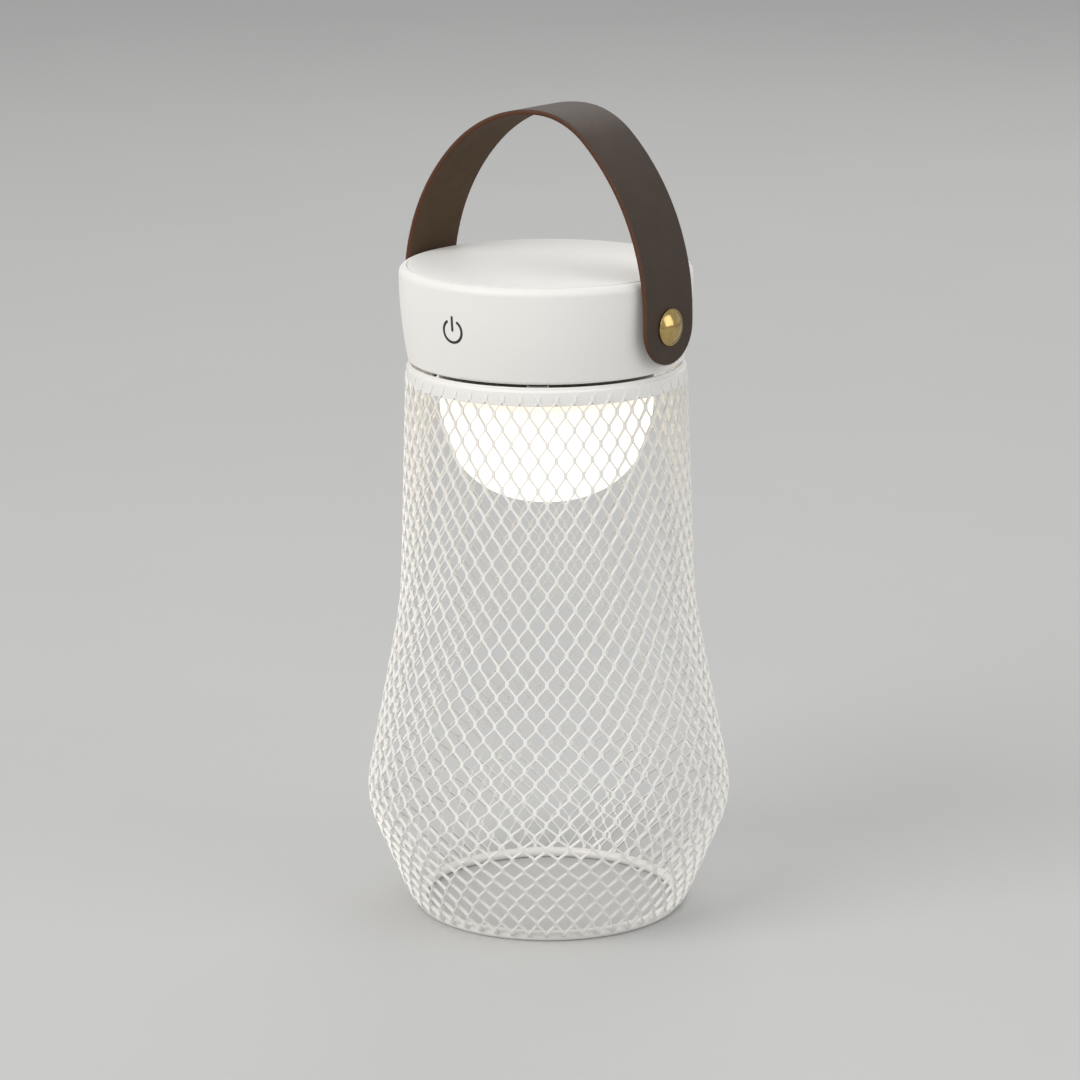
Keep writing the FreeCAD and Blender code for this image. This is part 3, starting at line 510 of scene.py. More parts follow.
band_inner = band_radius - band_thickness
band_outline = [
    (band_inner, band_top - band_edge),
    *arc((band_inner + band_edge, band_top - band_edge), band_edge, 180, 90, 3),
    *arc((band_radius - band_edge, band_top - band_edge), band_edge, 90, 0, 4),
    *arc((band_radius + band_edge, shade_top + band_edge * 2), band_edge, 180, 250, 4),
    *arc((band_filled - band_edge, shade_top - band_edge * 0.3), band_edge, 70, 0, 4),
    *arc((band_filled - band_edge, band_bottom + band_edge), band_edge, 0, -90, 5),
    *arc((band_inner + band_edge, band_bottom + band_edge), band_edge, 270, 180, 3),
]


def tab_faces(angle, start):
    """A tab from the band to its round end, with the screw's hole through it."""
    along = Vector((math.cos(angle), math.sin(angle)))
    across = Vector((-along.y, along.x))
    half = tab_width / 2
    end = tie_ring * along
    root = (band_radius - band_thickness / 2) * along
    turns = 24
    rim = [end + half * (across * math.cos(t) - along * math.sin(t))
           for t in (math.pi * i / turns for i in range(turns + 1))]
    rim += [root - across * half + across * tab_width * i / 3 for i in range(4)]
    hole = [end + (point - end).normalized() * tab_hole for point in rim]
    points = [(*p, z) for z in (band_top, band_top - band_thickness) for ring in (rim, hole) for p in ring]
    n = len(rim)
    faces = []
    for i in range(n):
        j = (i + 1) % n
        top_rim, top_hole, low_rim, low_hole = (start + k * n for k in range(4))
        faces += [
            (top_rim + i, top_rim + j, top_hole + j, top_hole + i),
            (low_hole + i, low_hole + j, low_rim + j, low_rim + i),
            (low_rim + i, low_rim + j, top_rim + j, top_rim + i),
            (top_hole + i, top_hole + j, low_hole + j, low_hole + i),
        ]
    return points, faces


band_points, band_faces = turned_faces(band_outline, 256)
for tab in tie_angles:
    more_points, more_faces = tab_faces(math.radians(tab), len(band_points))
    band_points += more_points
    band_faces += more_faces
collar = piece("collar_band_coated", band_points, band_faces, coat, 50)
settle(collar, "lamp", "white_coat", "collar_band")

# Screws and spacers ---------------------------------------------------------------------------------------
# Zinc plated pan head and countersunk screws, which are bought parts, and black nylon spacers that hold the
# dark gap open between head and collar.


def dress(finish, *nodes):
    """Gives CAD nodes a finish in place of their plain colour."""
    for node in nodes:
        for material_slot in frame["nodes"][node].material_slots:
            material_slot.material = finish.material


zinc_colour = (0.62, 0.63, 0.64)
zinc = Finish("zinc_plate", {"Metallic": 1.0})
zinc.vary({
    "Base Color": zinc.blend(zinc.cloud(1.6, 3.0), shade(zinc_colour, 0.82), shade(zinc_colour, 1.08)),
    "Roughness": 0.26 + 0.2 * zinc.cloud(0.4, 3.0),
})
zinc.relief(zinc.cloud(0.12, 1.0), 0.004)
dress(zinc, "collar_screws", "diffuser_screws", "led_board_screws", "tray_screws", "board_screws")


def moulding(name, colour, roughness, grain):
    """A moulded plastic: a fine eroded grain and a slight mottle."""
    made = Finish(name, {"IOR": 1.49})
    made.vary({
        "Base Color": made.blend(made.cloud(9.0, 3.0), shade(colour, 0.94), shade(colour, 1.04)),
        "Roughness": roughness - 0.05 + 0.1 * made.cloud(0.6, 2.0),
    })
    made.relief(made.cloud(grain, 2.0), grain * 0.06)
    return made


nylon = moulding("black_nylon", (0.035, 0.034, 0.033), 0.48, 0.3)
dress(nylon, "collar_spacers", "pivot_washers")

# Base plate and light board -------------------------------------------------------------------------------
# The plate is stamped from aluminium sheet with its rolling lines left on. The board under it has a white
# solder mask, a printed track between the light sources and yellow phosphor over each of them.

plate_colour = (0.72, 0.72, 0.73)
plate = Finish("rolled_aluminium", {"Metallic": 1.0})
rolling = plate.cloud(1.0, 4.0, plate.stretched(0.06, 2.4, 2.4))
plate.vary({
    "Base Color": plate.blend(rolling, shade(plate_colour, 0.84), shade(plate_colour, 1.05)),
    "Roughness": 0.30 + 0.18 * rolling,
})
plate.relief(rolling, 0.008)
dress(plate, "base_plate")

mask_colour = (0.83, 0.83, 0.81)
mask_track = (0.72, 0.73, 0.70)
led_ring_places = (10.0, 15.0)
mask = Finish("white_solder_mask", {"IOR": 1.5, "Coat Weight": 0.3, "Coat Roughness": 0.2})
mask_x, mask_y, _ = mask.axes()
from_middle = (mask_x ** 2.0 + mask_y ** 2.0) ** 0.5
tracks = sum((from_middle - place).math("ABSOLUTE").share(2.2, 2.0) for place in led_ring_places)
track = tracks.between(0.0, 1.0)
mask.vary({
    "Base Color": mask.blend(track, mask_colour, mask_track),
    "Roughness": 0.34 + 0.12 * mask.cloud(1.2),
})
mask.relief(track + 0.3 * mask.cloud(0.5), 0.03)
dress(mask, "led_board")

phosphor = Finish("led_phosphor", {"IOR": 1.45, "Emission Strength": 3.0, "Roughness": 0.4})
glow_spots = phosphor.cloud(0.5, 2.0)
phosphor.vary({
    "Base Color": phosphor.blend(glow_spots, (0.86, 0.66, 0.20), (0.92, 0.76, 0.32)),
    "Emission Color": phosphor.blend(glow_spots, (1.0, 0.80, 0.50), (1.0, 0.86, 0.60)),
})
phosphor.relief(glow_spots, 0.02)
dress(phosphor, "led_chips")

# Opal dome ------------------------------------------------------------------------------------------------
# The diffuser is moulded from opal acrylic, with nearly upright sides and a flattened end. It glows from
# inside, but not at its neck, which is coloured black: a mask against stray light, and painted shade that
# keeps the gap above the collar dark.

dome_neck_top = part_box("diffuser_dome")[1].z
dome_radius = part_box("diffuser_dome")[1].x
dome_shoulder = 182.0 * MM
dome_depth = 40.0 * MM
dome_wall = 2.0 * MM
dome_side_power = 2.3
dome_end_power = 2.6
neck_shade_mm = (184.2, 184.5)
dome_glow_mm = (142.0, 184.5)


def dome_curve(radius, depth, steps=48):
    """The bowl from its end up to the shoulder: an oval with fuller corners than an ellipse."""
    turns = [math.pi / 2 * (1 - i / steps) for i in range(steps)] + [0.0]
    return [(radius * math.cos(t) ** (2 / dome_side_power) if i else 0.0,
             dome_shoulder - depth * math.sin(t) ** (2 / dome_end_power)) for i, t in enumerate(turns)]


dome_outline = [
    *dome_curve(dome_radius, dome_depth),
    (dome_radius, dome_neck_top),
    (dome_radius - dome_wall, dome_neck_top),
    *reversed(dome_curve(dome_radius - dome_wall, dome_depth - dome_wall)),
]
opal = Finish("opal_acrylic", {
    "IOR": 1.49, "Emission Strength": 0.95, "Subsurface Weight": 0.3, "Subsurface Scale": 2 * MM,
    "Coat Weight": 0.25, "Coat Roughness": 0.08})
_, _, opal_height = opal.axes()
# The neck's black base colour is painted shade for the gap above the collar, as well as a mask against stray
# light.
painted_neck_shade = opal_height.share(*neck_shade_mm)
opal.vary({
    "Base Color": opal.blend(
        painted_neck_shade, opal.blend(opal.cloud(7.0), (0.90, 0.88, 0.84), (0.94, 0.925, 0.89)), (0.02, 0.02, 0.02)),
    "Emission Color": opal.node("ShaderNodeValToRGB", {"stops": [
        (0.0, (1.0, 0.93, 0.76)), (0.7, (1.0, 0.89, 0.68)),
        (0.99, (0.85, 0.66, 0.40)), (1.0, (0.0, 0.0, 0.0))]},
        {"Fac": opal_height.share(*dome_glow_mm) + 0.012 * opal.cloud(9.0)})["Color"],
    "Roughness": 0.30 + 0.08 * opal.cloud(2.0),
})
opal.relief(opal.cloud(1.4, 1.0), 0.01)
dome = piece("dome_bowl", *turned_faces(dome_outline, 160), opal)
settle(dome, "lamp", "opal_plastic", "diffuser_dome")

# Battery tray and cells -----------------------------------------------------------------------------------
# A moulded ABS tray cradles two sleeved cells with spot welded nickel strips. A block of closed cell foam
# under the cover holds them down.

tray = moulding("tray_abs", (0.045, 0.045, 0.048), 0.5, 0.35)
dress(tray, "battery_tray")

sleeve_colour = (0.05, 0.22, 0.46)
sleeve = Finish("cell_sleeve", {"IOR": 1.5, "Coat Weight": 0.4, "Coat Roughness": 0.12})
sleeve_end_mm = (30.4, 31.4)
shrunk_end = sleeve.axes()[0].math("ABSOLUTE").share(*sleeve_end_mm)
sleeve.vary({
    "Base Color": sleeve.blend(shrunk_end, sleeve_colour, shade(sleeve_colour, 0.6)),
    "Roughness": 0.24 + 0.16 * sleeve.cloud(3.0),
})
sleeve.relief(sleeve.cloud(1.2, 2.0, sleeve.stretched(3.0, 0.6, 0.6)) * (0.3 + shrunk_end), 0.06)
dress(sleeve, "battery_cells")

nickel = Finish("nickel_strip", {"Metallic": 1.0})
weld_pitch_mm = 3.0
weld_height_mm = 205.25
_, weld_y, weld_z = nickel.axes()
from_weld = (weld_y % weld_pitch_mm - weld_pitch_mm / 2) ** 2.0 + (weld_z - weld_height_mm) ** 2.0
weld = from_weld.share(0.5, 0.2)
nickel.vary({
    "Base Color": nickel.blend(weld, (0.66, 0.64, 0.60), (0.34, 0.31, 0.28)),
    "Roughness": 0.24 + 0.2 * nickel.cloud(0.6, 3.0),
})
nickel.relief(1.0 - weld, 0.08)
dress(nickel, "cell_strips")

foam = Finish("closed_cell_foam", {"IOR": 1.4, "Sheen Weight": 0.3})
bubble = foam.cells(0.55)
foam.vary({
    "Base Color": foam.blend(bubble, (0.018, 0.018, 0.018), (0.06, 0.06, 0.06)),
    "Roughness": 0.86 + 0.1 * foam.cloud(0.8),
})
foam.relief(bubble, 0.25)
dress(foam, "battery_foam")

# Control board --------------------------------------------------------------------------------------------
# A green board on the tray's posts with its plug, coil, chips and charge light, and the socket that faces
# the slot in the drum. Soft insulated wires run to the cells, the light board and the touch patch.

mask_green, track_green = (0.012, 0.12, 0.045), (0.03, 0.22, 0.085)
green = Finish("green_solder_mask", {"IOR": 1.5, "Coat Weight": 0.4, "Coat Roughness": 0.15})
green_tracks = green.node("ShaderNodeTexBrick", {"offset": 0.5}, {
    "Vector": green.place, "Scale": 0.5, "Mortar Size": 0.035, "Mortar Smooth": 0.2,
    "Brick Width": 1.6, "Row Height": 0.8})["Fac"]
green.vary({
    "Base Color": green.blend(green_tracks, mask_green, track_green),
    "Roughness": 0.3 + 0.12 * green.cloud(1.0),
})
green.relief(green_tracks, 0.03)
dress(green, "control_board")

package = moulding("chip_package", (0.022, 0.022, 0.024), 0.42, 0.2)
dress(package, "board_components")

copper = Finish("copper_foil", {"Metallic": 1.0})
copper_tone = copper.cloud(3.0, 4.0)
copper.vary({
    "Base Color": copper.blend(copper_tone, (0.52, 0.25, 0.14), (0.80, 0.46, 0.30)),
    "Roughness": 0.24 + 0.22 * copper_tone,
})
copper.relief(copper.cloud(1.5, 2.0, copper.stretched(0.3, 1.0, 1.0)), 0.03)
dress(copper, "touch_pad")

steel = Finish("drawn_stainless", {"Metallic": 1.0})
drawing = steel.cloud(0.5, 3.0, steel.stretched(1.0, 0.05, 1.0))
steel.vary({
    "Base Color": steel.blend(drawing, (0.50, 0.50, 0.51), (0.68, 0.68, 0.69)),
    "Roughness": 0.2 + 0.2 * drawing,
})
steel.relief(drawing, 0.006)
dress(steel, "usb_socket")

pipe = moulding("light_pipe", (0.78, 0.79, 0.79), 0.16, 0.8)
pipe.vary({"Transmission Weight": 0.6})
dress(pipe, "charge_light_pipe")


def insulation(name, colour):
    """Soft extruded insulation, with faint draw lines and a dusty bloom."""
    made = Finish(name, {"IOR": 1.5, "Sheen Weight": 0.1})
    made.vary({
        "Base Color": made.blend(made.cloud(2.5, 3.0), shade(colour, 0.85), shade(colour, 1.1)),
        "Roughness": 0.42 + 0.14 * made.cloud(0.5),
    })
    made.relief(made.cloud(0.3, 1.0), 0.01)
    return made


dress(insulation("red_insulation", (0.52, 0.03, 0.025)), "battery_leads")
dress(insulation("white_insulation", (0.76, 0.76, 0.74)), "led_leads", "touch_lead")

# Drum head and cover --------------------------------------------------------------------------------------
# Both are moulded with a fine spark eroded skin, the drum in a warm white and the cover a shade greyer. The
# drum bears marks of handling where it is picked up, and the cover lies in it with a hairline seam.


def eroded_skin(name, colour, wear):
    """The matt skin: tiny pits, a mottle too faint to name, and a soft polish in patches."""
    made = Finish(name, {"IOR": 1.46, "Diffuse Roughness": 0.3})
    pits = made.cloud(0.22, 2.0)
    patches = made.cloud(23.0, 4.0)
    tone = 0.7 * made.cloud(31.0, 3.0) + 0.3 * pits
    made.vary({
        "Base Color": made.blend(tone, shade(colour, 0.965), shade(colour, 1.025)),
        "Roughness": 0.50 + 0.1 * pits - wear * patches.share(0.45, 0.7),
    })
    made.relief(pits + 0.25 * made.cloud(1.7), 0.045)
    return made


drum = eroded_skin("drum_skin", warm_white, 0.10)
dress(drum, "head_housing")

cover_radius = 46.16 * MM
cover_proud = 0.26 * MM
cover_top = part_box("top_cover")[1].z + cover_proud
cover_thickness = 2.2 * MM
cover_edge = 0.3 * MM
cover_outline = [
    (0.0, cover_top - cover_thickness),
    (cover_radius, cover_top - cover_thickness),
    *arc((cover_radius - cover_edge, cover_top - cover_edge), cover_edge, 0, 90, 5),
    (cover_radius * 0.6, cover_top),
    (0.0, cover_top),
]
cover_skin = eroded_skin("cover_skin", (0.755, 0.742, 0.715), 0.05)
cover = piece("cover_disc", *turned_faces(cover_outline, 256), cover_skin)
settle(cover, "lamp", "cover_plastic", "top_cover")

# Power mark -----------------------------------------------------------------------------------------------
# The standby symbol is screen printed on the front of the drum in matt black ink: an open ring and a bar
# with round ends, laid on the drum's curve.

mark_radius = 3.72 * MM
mark_stroke = 0.92 * MM
mark_opening = math.radians(35)
mark_bar = (0.35 * MM, 4.7 * MM)
mark_drop = 0.25 * MM
mark_middle = (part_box("power_symbol")[0].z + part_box("power_symbol")[1].z) / 2 - mark_drop
ink_rise = 0.03 * MM
before_drum = -0.2


def stroke_faces(middle_line, start):
    """A stroke of the symbol with round ends, flat in (across, up), as corners and faces."""
    half = mark_stroke / 2
    sides = []
    for number in range(len(middle_line)):
        ahead = middle_line[min(number + 1, len(middle_line) - 1)] - middle_line[max(number - 1, 0)]
        sides.append(Vector((-ahead.y, ahead.x)).normalized() * half)
    corners = []
    for point, side in zip(middle_line, sides):
        corners += [point + side, point, point - side]
    faces = []
    for i in range(len(middle_line) - 1):
        a = start + 3 * i
        faces += [(a, a + 1, a + 4, a + 3), (a + 1, a + 2, a + 5, a + 4)]
    for end, sign in ((0, 1), (len(middle_line) - 1, -1)):
        hub = start + 3 * end + 1
        around = [start + 3 * end]
        for k in range(1, 12):
            turned = Matrix.Rotation(math.pi * k / 12 * sign, 2) @ sides[end]
            around.append(start + len(corners))
            corners.append(middle_line[end] + turned)
        around.append(start + 3 * end + 2)
        faces += [(hub, a, b) for a, b in zip(around, around[1:])]
    return corners, faces


def drum_surface(across, up):
    """The point of the drum's front over a place of the flat symbol, with the ink's thickness added."""
    found = drum_shell.ray_cast(Vector((across, before_drum, mark_middle + up)), Vector((0, 1, 0)))[0]
    return found + Vector((found.x, found.y, 0)).normalized() * ink_rise


drum_mesh = frame["nodes"]["head_housing"].data
drum_shell = BVHTree.FromPolygons(
    [v.co for v in drum_mesh.vertices], [p.vertices for p in drum_mesh.polygons])
ring_line = [Vector((mark_radius * math.sin(a), mark_radius * math.cos(a))) for a in (
    mark_opening + (2 * math.pi - 2 * mark_opening) * i / 60 for i in range(61))]
bar_line = [Vector((0.0, mark_bar[0] + (mark_bar[1] - mark_bar[0]) * i / 10)) for i in range(11)]
mark_points, mark_faces = [], []
for line in (ring_line, bar_line):
    corners, faces = stroke_faces(line, len(mark_points))
    mark_points += corners
    mark_faces += faces
ink = Finish("black_ink", {"IOR": 1.5})
ink_screen = ink.cloud(0.3, 3.0)
ink.vary({
    "Base Color": ink.blend(ink_screen.share(0.3, 0.75), (0.012, 0.012, 0.013), (0.030, 0.029, 0.028)),
    "Roughness": 0.36 + 0.14 * ink_screen,
})
ink.relief(ink_screen, 0.01)
mark = piece("power_mark_ink", [drum_surface(p.x, p.y) for p in mark_points], mark_faces, ink)
if mark.data.polygons[0].normal.y >= 0:
    mark.data.flip_normals()
settle(mark, "lamp", "black_print", "power_symbol")

# Strap ----------------------------------------------------------------------------------------------------
# A strip of dark brown leather 25 mm wide, cut with round ends and punched for the rivets. Its outside is
# smooth and waxed, its inside is flesh side, and its cut edges are left raw and stand out reddish.

strap_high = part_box("handle_strap")[1]
pivot_height = frame["joints"][0]["pos_m"][2]
strap_half = strap_high.y
strap_outer = strap_high.x
strap_thickness = 1.7 * MM
strap_hole = 2.6 * MM
strap_leg = 3.5 * MM
strap_lean = 6.0 * MM
strap_joint = math.radians(48)
strap_rounding = 0.42 * MM
strap_step = 1.5 * MM
strap_dent = 0.10 * MM
dents_per_metre = 90.0
strap_fray = 0.20 * MM
frays_per_metre = 900.0


def quarter_oval(reach, rise, joint):
    """Radii of the side arc and the end arc that meet at the joint angle without a crease."""
    slope = math.tan((math.pi / 2 - joint) / 2)
    side = (rise - reach * slope) / (1 - slope)
    return side, side - (side - reach) / math.cos(joint)


def strap_runs():
    """The strap's middle line up from each rivet: runs of length, centre, radius and the angle each starts at.

    The first run of each side is straight, so it has no centre and no radius.
    """
    base = pivot_height + strap_leg
    rise = strap_high.z - base
    half = strap_thickness / 2
    runs = []
    for sign in (1, -1):
        reach = strap_outer - sign * strap_lean
        side, end = quarter_oval(reach, rise, strap_joint)
        over = math.pi / 2 - strap_joint
        parts = [
            (strap_leg, None, None, 0.0),
            ((side - half) * strap_joint, (strap_lean + sign * (reach - side), base), side - half, 0.0),
            ((end - half) * over, (strap_lean, base + rise - end), end - half, strap_joint),
        ]
        runs.append((sign, parts))
    return runs


strap_sides = strap_runs()
side_lengths = [sum(part[0] for part in parts) for _, parts in strap_sides]
strap_length = sum(side_lengths)


def strap_place(along, across, out):
    """Where a point of the flat strap goes when the strap is bent: along it, across it and out from it."""
    number = 0 if along < side_lengths[0] else 1
    sign, parts = strap_sides[number]
    left = along if number == 0 else strap_length - along
    foot = sign * (strap_outer - strap_thickness / 2)
    for length, centre, radius, start in parts:
        if left <= length or (radius and start):
            break
        left -= length
    if radius is None:
        x, z, tilt = foot, pivot_height + left, 0.0
    else:
        tilt = start + left / radius
        x = centre[0] + sign * radius * math.cos(tilt)
        z = centre[1] + radius * math.sin(tilt)
    return Vector((x + sign * out * math.cos(tilt), across, z + out * math.sin(tilt)))


def strap_outline(inset):
    """The flat outline drawn in by an inset: two straight edges and two round ends."""
    half = strap_half - inset
    straight = round(strap_length / strap_step)
    end = 28
    points = [(strap_length * i / straight, half) for i in range(straight)]
    points += [(strap_length + half * math.sin(a), half * math.cos(a))
               for a in (math.pi * i / end for i in range(end))]
    points += [(strap_length * (1 - i / straight), -half) for i in range(straight)]
    points += [(-half * math.sin(a), -half * math.cos(a)) for a in (math.pi * i / end for i in range(end))]
    return points


def hole_outline(middle, inset):
    turns = 24
    radius = strap_hole + inset
    return [(middle + radius * math.cos(a), radius * math.sin(a))
            for a in (2 * math.pi * i / turns for i in range(turns))]


def from_rivets(along, across):
    """How far a place of the flat strap is from the line between the rivets, and from the nearer rivet."""
    beyond = max(-along, along - strap_length, 0.0)
    nearer = min(math.hypot(along, across), math.hypot(along - strap_length, across))
    return math.hypot(beyond, across), nearer


def strap_sheet():
    """Corners and triangles of the flat face inside the rounded edges, with a hole at each end."""
    loops = [strap_outline(strap_rounding), hole_outline(0.0, strap_rounding / 2),
             hole_outline(strap_length, strap_rounding / 2)]
    corners, edges = [], []
    for loop in loops:
        first = len(corners)
        corners += [Vector(p) for p in loop]
        edges += [(first + i, first + (i + 1) % len(loop)) for i in range(len(loop))]
    inner = strap_half - strap_rounding - strap_step * 0.6
    rows_across = 14
    rows_along = round((strap_length + 2 * inner) / strap_step)
    for i in range(rows_along + 1):
        along = -inner + (strap_length + 2 * inner) * i / rows_along
        for j in range(rows_across + 1):
            across = inner * (2 * j / rows_across - 1)
            from_line, from_rivet = from_rivets(along, across)
            if from_line <= inner * 1.001 and from_rivet > strap_hole + strap_step * 0.7:
                corners.append(Vector((along, across)))
    found = delaunay_2d_cdt(corners, edges, [], 0, 1e-7)
    places, triangles = found[0], []
    for triangle in found[2]:
        from_line, from_rivet = from_rivets(*(sum((places[k] for k in triangle), Vector((0, 0))) / 3))
        if from_line <= strap_half - strap_rounding and from_rivet > strap_hole + strap_rounding / 2 * 0.98:
            triangles.append(triangle)
    return places, triangles


def make_strap(finish):
    """The flat strap with rounded edges, then bent: both faces, the outer edge and the two holes."""
    half = strap_thickness / 2
    points, faces, raw, flesh = [], [], [], []

    def add(along, across, out, rawness):
        # Its surface is a little uneven, always inwards from the full thickness, and its edge frays.
        dent = strap_dent * (0.5 + 0.5 * noise.noise(Vector((along, across, out * 2)) * dents_per_metre))
        if rawness > 0.5 and abs(across) > strap_half * 0.6:
            ragged = strap_fray * noise.noise(Vector((along, across, out * 3)) * frays_per_metre)
            across -= math.copysign(abs(ragged), across)
        points.append(strap_place(along, across, out - dent if out > 0 else out))
        raw.append(rawness)
        flesh.append(0.0 if out > 0 else 1.0)

    sheet, triangles = strap_sheet()
    for out, turned in ((half, False), (-half, True)):
        first = len(points)
        for place in sheet:
            add(place.x, place.y, out, 0.0)
        faces += [tuple(first + k for k in (reversed(t) if turned else t)) for t in triangles]
    steps = 4
    section = [(strap_rounding * (1 - math.sin(a)), half - strap_rounding * (1 - math.cos(a)))
               for a in (math.pi / 2 * i / steps for i in range(steps + 1))]
    section += [(inset, -out) for inset, out in reversed(section)]
    for outline in (
            strap_outline,
            lambda inset: hole_outline(0.0, inset / 2),
            lambda inset: hole_outline(strap_length, inset / 2)):
        rings = []
        for inset, out in section:
            first = len(points)
            for along, across in outline(inset):
                add(along, across, out, 1.0 - min(inset / strap_rounding, 1.0))
            rings.append(range(first, len(points)))
        for ring, after in zip(rings, rings[1:]):
            count = len(ring)
            faces += [
                (ring[i], ring[(i + 1) % count], after[(i + 1) % count], after[i]) for i in range(count)]
    return piece("strap_leather", points, faces, finish, 60, {"raw_edge": raw, "flesh_side": flesh})


leather = Finish("dark_leather", {"IOR": 1.42})
raw_edge = leather.kept("raw_edge")
flesh_side = leather.kept("flesh_side")
creases = leather.cells(0.9, "DISTANCE_TO_EDGE").share(0.0, 0.12)
pores = leather.cells(0.42)
nap = leather.cloud(0.25, 3.0)
waxed = leather.blend(leather.cloud(11.0, 4.0), (0.030, 0.0175, 0.010), (0.056, 0.034, 0.020))
suede = leather.blend(nap * 0.6 + leather.cloud(5.0, 3.0) * 0.4, (0.045, 0.026, 0.013), (0.120, 0.072, 0.038))
fibres = leather.blend(leather.cloud(0.5, 3.0), (0.050, 0.020, 0.009), (0.125, 0.046, 0.020))
leather.vary({
    "Base Color": leather.blend(raw_edge, leather.blend(flesh_side, waxed, suede), fibres),
    "Roughness": 0.46 + 0.12 * leather.cloud(1.2, 3.0) + 0.34 * flesh_side + 0.1 * raw_edge,
})
leather.relief((1.0 - flesh_side) * (0.7 * creases + 0.3 * pores) + flesh_side * nap * 1.6, 0.05)
strap = make_strap(leather)
settle(strap, "handle", "leather", "handle_strap")

fibre_tip = 0.012 * MM
fibre_root = 0.035 * MM
fibre_sway = 1.1
raw_from = 0.75


def fuzz_recipe():
    """Short fibres that stand out of the raw edge of the strap."""
    tree = Recipe("fuzz", {"Density": "NodeSocketFloat", "Seed": "NodeSocketInt", "Length": "NodeSocketFloat",
                           "Finish": "NodeSocketMaterial"})
    get = tree.inputs
    rough = tree.attribute("raw_edge").math("GREATER_THAN", raw_from)
    spots = tree.node("GeometryNodeDistributePointsOnFaces", {}, {
        "Mesh": get["Source"], "Selection": rough, "Density": get["Density"], "Seed": get["Seed"]})
    fibre = tree.node("GeometryNodeMeshCone", {"fill_type": "NONE"}, {
        "Vertices": 3, "Radius Top": fibre_tip, "Radius Bottom": fibre_root, "Depth": get["Length"]})["Mesh"]
    fibre = tree.store(fibre, "raw_edge", 1.0)
    sway = tree.node("FunctionNodeRandomValue", {"data_type": "FLOAT_VECTOR"}, {
        "Min": (-fibre_sway, -fibre_sway, 0.0), "Max": (fibre_sway, fibre_sway, 6.28),
        "Seed": get["Seed"]})["Value"]
    turned = tree.node("FunctionNodeRotateRotation", {"rotation_space": "LOCAL"}, {
        "Rotation": spots["Rotation"], "Rotate By": sway})["Rotation"]
    size = tree.node("FunctionNodeRandomValue", {"data_type": "FLOAT"}, {
        "Min": 0.4, "Max": 1.0, "Seed": get["Seed"]})["Value"]
    tree.result(tree.node("GeometryNodeInstanceOnPoints", {}, {
        "Points": spots["Points"], "Instance": fibre, "Rotation": turned, "Scale": size})["Instances"])
    return tree


fuzz = fuzz_recipe().make("strap_edge_fibres", strap.data.copy(), {
    "Density": 7.0e6, "Seed": 5, "Length": 0.65 * MM, "Finish": leather.material})
settle(fuzz, "handle", "leather")

# Rivets ---------------------------------------------------------------------------------------------------
# Turned brass, polished and lacquered: a domed head with a thin flat rim holds the strap, and the tail is
# closed over a burr washer inside the drum.

rivet_low, rivet_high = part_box("rivet_right")
rivet_radius = 2.5 * MM
rivet_head = (rivet_high.y - rivet_low.y) / 2
rivet_dome = 2.8 * MM
rivet_rim = 0.5 * MM
rim_width = 0.55 * MM
rim_fillet = 0.08 * MM
burr_thickness = 1.0 * MM
tail_radius = 2.4 * MM
tail_flare = 3.4 * MM
under_head = rivet_high.x - rivet_dome
burr_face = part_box("rivet_burrs")[1].x - burr_thickness
tail_end = rivet_low.x
dome_reach = rivet_head - rim_width
dome_rise = rivet_dome - rivet_rim
dome_arc = (dome_reach ** 2 + dome_rise ** 2) / (2 * dome_rise)
dome_angle = math.degrees(math.asin(dome_reach / dome_arc))
rim_edge = 0.18 * MM

rivet_outline = [
    (0.0, tail_end),
    (tail_radius, tail_end),
    (tail_flare, burr_face),
    (rivet_radius, burr_face),
    (rivet_radius, under_head),
    (rivet_head - rim_edge, under_head),
    *arc((rivet_head - rim_edge, under_head + rim_edge), rim_edge, -90, 0, 4),
    *arc((rivet_head - rim_edge, under_head + rivet_rim - rim_edge), rim_edge, 0, 90, 4),
    (dome_reach + rim_fillet, under_head + rivet_rim),
    *arc((0.0, rivet_high.x - dome_arc), dome_arc, 90 - dome_angle, 90, 24),
]
brass = Finish("polished_brass", {"Metallic": 1.0, "Coat Weight": 0.3, "Coat Roughness": 0.05})
tarnish = brass.cloud(2.2, 4.0)
scratches = brass.cloud(0.35, 3.0, brass.stretched(1.0, 4.0, 0.5))
brass.vary({
    "Base Color": brass.blend(tarnish.share(0.3, 0.8), (0.58, 0.42, 0.16), (0.38, 0.26, 0.09)),
    "Roughness": 0.07 + 0.12 * tarnish + 0.05 * scratches,
})
brass.relief(scratches, 0.004)
for name, node, turn in (("rivet_right_turned", "rivet_right", 90), ("rivet_left_turned", "rivet_left", -90)):
    rivet = piece(name, *turned_faces(rivet_outline, 96), brass)
    sideways = Matrix.Rotation(math.radians(turn), 4, "Y")
    rivet.data.transform(Matrix.Translation((0, 0, pivot_height)) @ sideways)
    settle(rivet, "lamp", "brass", node)
dress(brass, "rivet_burrs")

# Floor, light and camera ----------------------------------------------------------------------------------
# A plain pale floor under soft light from the upper left, seen from a little above the lamp's middle.

floor_radius = 9.0
floor_finish = Finish("pale_floor", {"Roughness": 0.65, "Specular IOR Level": 0.25})
floor_finish.vary({"Base Color": floor_finish.blend(
    floor_finish.cloud(180.0, 3.0), (0.49, 0.49, 0.485), (0.515, 0.513, 0.505))})
floor_rim = [Vector((math.cos(a), math.sin(a), 0)) * floor_radius for a in (
    2 * math.pi * i / 96 for i in range(96))]
floor = piece("floor", floor_rim, [tuple(range(96))], floor_finish)

camera_turn = math.radians(39)
camera_distance = 1317.9 * MM
camera_height = 458.2 * MM
camera_aside = -2.5 * MM
camera_pitch = math.radians(14.10)
camera_roll = -0.0058
lamp_middle = Vector((0, 0, 120 * MM))

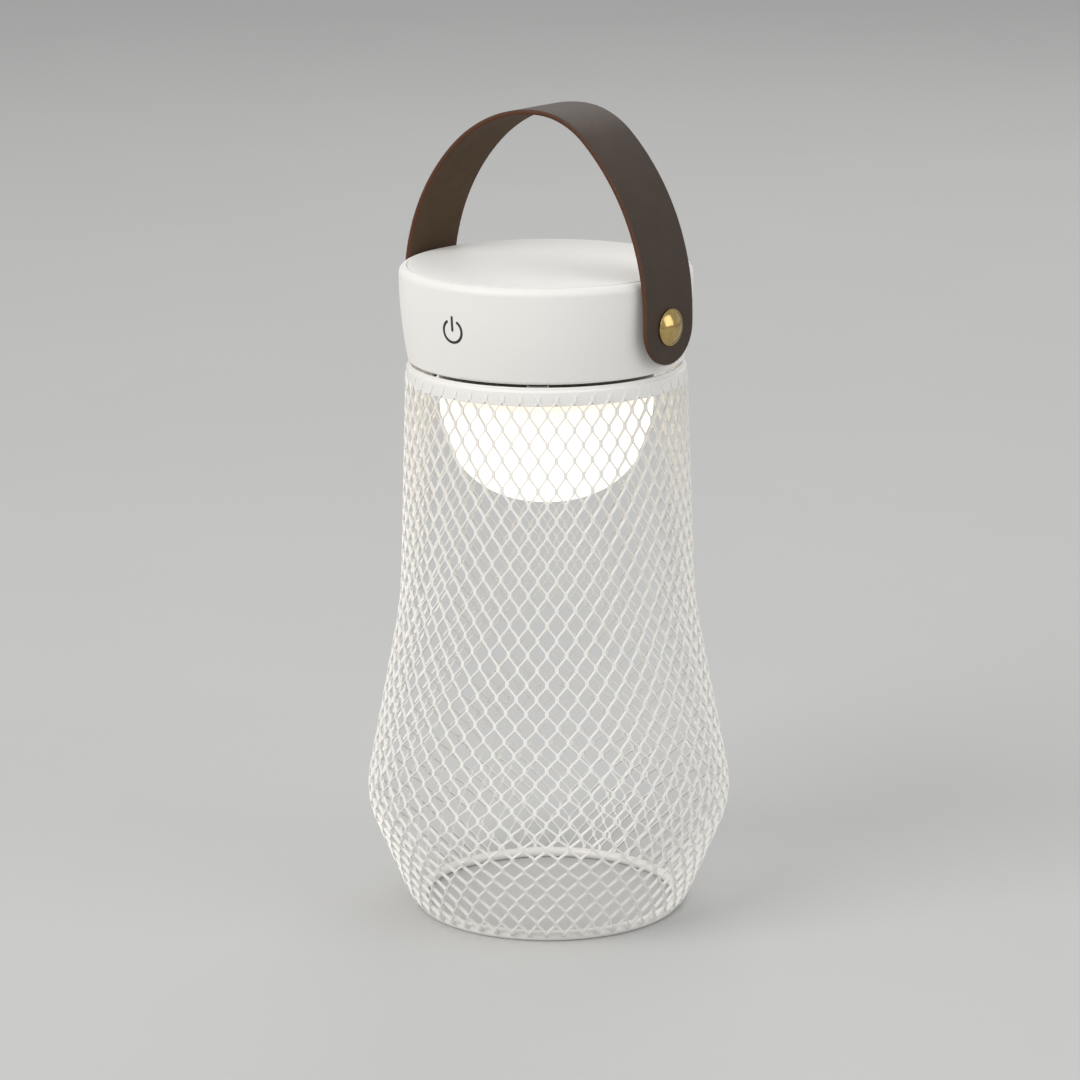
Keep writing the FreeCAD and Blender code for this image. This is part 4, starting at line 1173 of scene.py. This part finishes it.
towards = Vector((math.sin(camera_turn), -math.cos(camera_turn), 0))
right = Vector((math.cos(camera_turn), math.sin(camera_turn), 0))


def area_light(name, azimuth, elevation, distance, size, power, colour):
    """A soft square light that faces the lamp's middle, turned and raised by angles in degrees."""
    data = bpy.data.lights.new(name, "AREA")
    data.size, data.energy, data.color = size, power, colour
    light = stood(name, data)
    a, e = math.radians(azimuth), math.radians(elevation)
    way = Vector((math.sin(a) * math.cos(e), -math.cos(a) * math.cos(e), math.sin(e)))
    light.location = lamp_middle + way * distance
    light.rotation_euler = way.to_track_quat("Z", "Y").to_euler()


area_light("key", azimuth=-14, elevation=38, distance=2.2, size=1.4, power=30.0, colour=(1.0, 0.985, 0.96))
area_light("fill", azimuth=96, elevation=26, distance=2.4, size=1.8, power=17.0, colour=(0.95, 0.975, 1.0))
area_light("back", azimuth=205, elevation=40, distance=2.2, size=1.4, power=8.0, colour=(1.0, 0.99, 0.97))

world = bpy.data.worlds.new("studio")
world.use_nodes = True
bpy.context.scene.world = world
sky = Tree(world.node_tree)
background = next(n for n in world.node_tree.nodes if n.type == "BACKGROUND")
rays = sky.node("ShaderNodeLightPath")
seen = rays["Is Camera Ray"] + rays["Is Glossy Ray"] + rays["Is Transmission Ray"]
sky.put(background.inputs["Color"], sky.node("ShaderNodeMix", {"data_type": "RGBA"}, {
    "Factor": seen, "A": (0.60, 0.605, 0.61), "B": (0.56, 0.56, 0.555)})["Result"])

camera_data = bpy.data.cameras.new("camera")
camera_data.lens = 134.0
camera_data.sensor_width = 36.0
camera_data.clip_start, camera_data.clip_end = 0.05, 30.0
camera = stood("camera", camera_data)
back = towards * math.cos(camera_pitch) + Vector((0, 0, math.sin(camera_pitch)))
upright = back.cross(right)
turn = Matrix((right, upright, back)).transposed() @ Matrix.Rotation(camera_roll, 3, "Z")
camera.matrix_world = Matrix.Translation(
    towards * camera_distance + right * camera_aside + Vector((0, 0, camera_height))) @ turn.to_4x4()
bpy.context.scene.camera = camera
bpy.context.scene.view_settings.view_transform = "Standard"
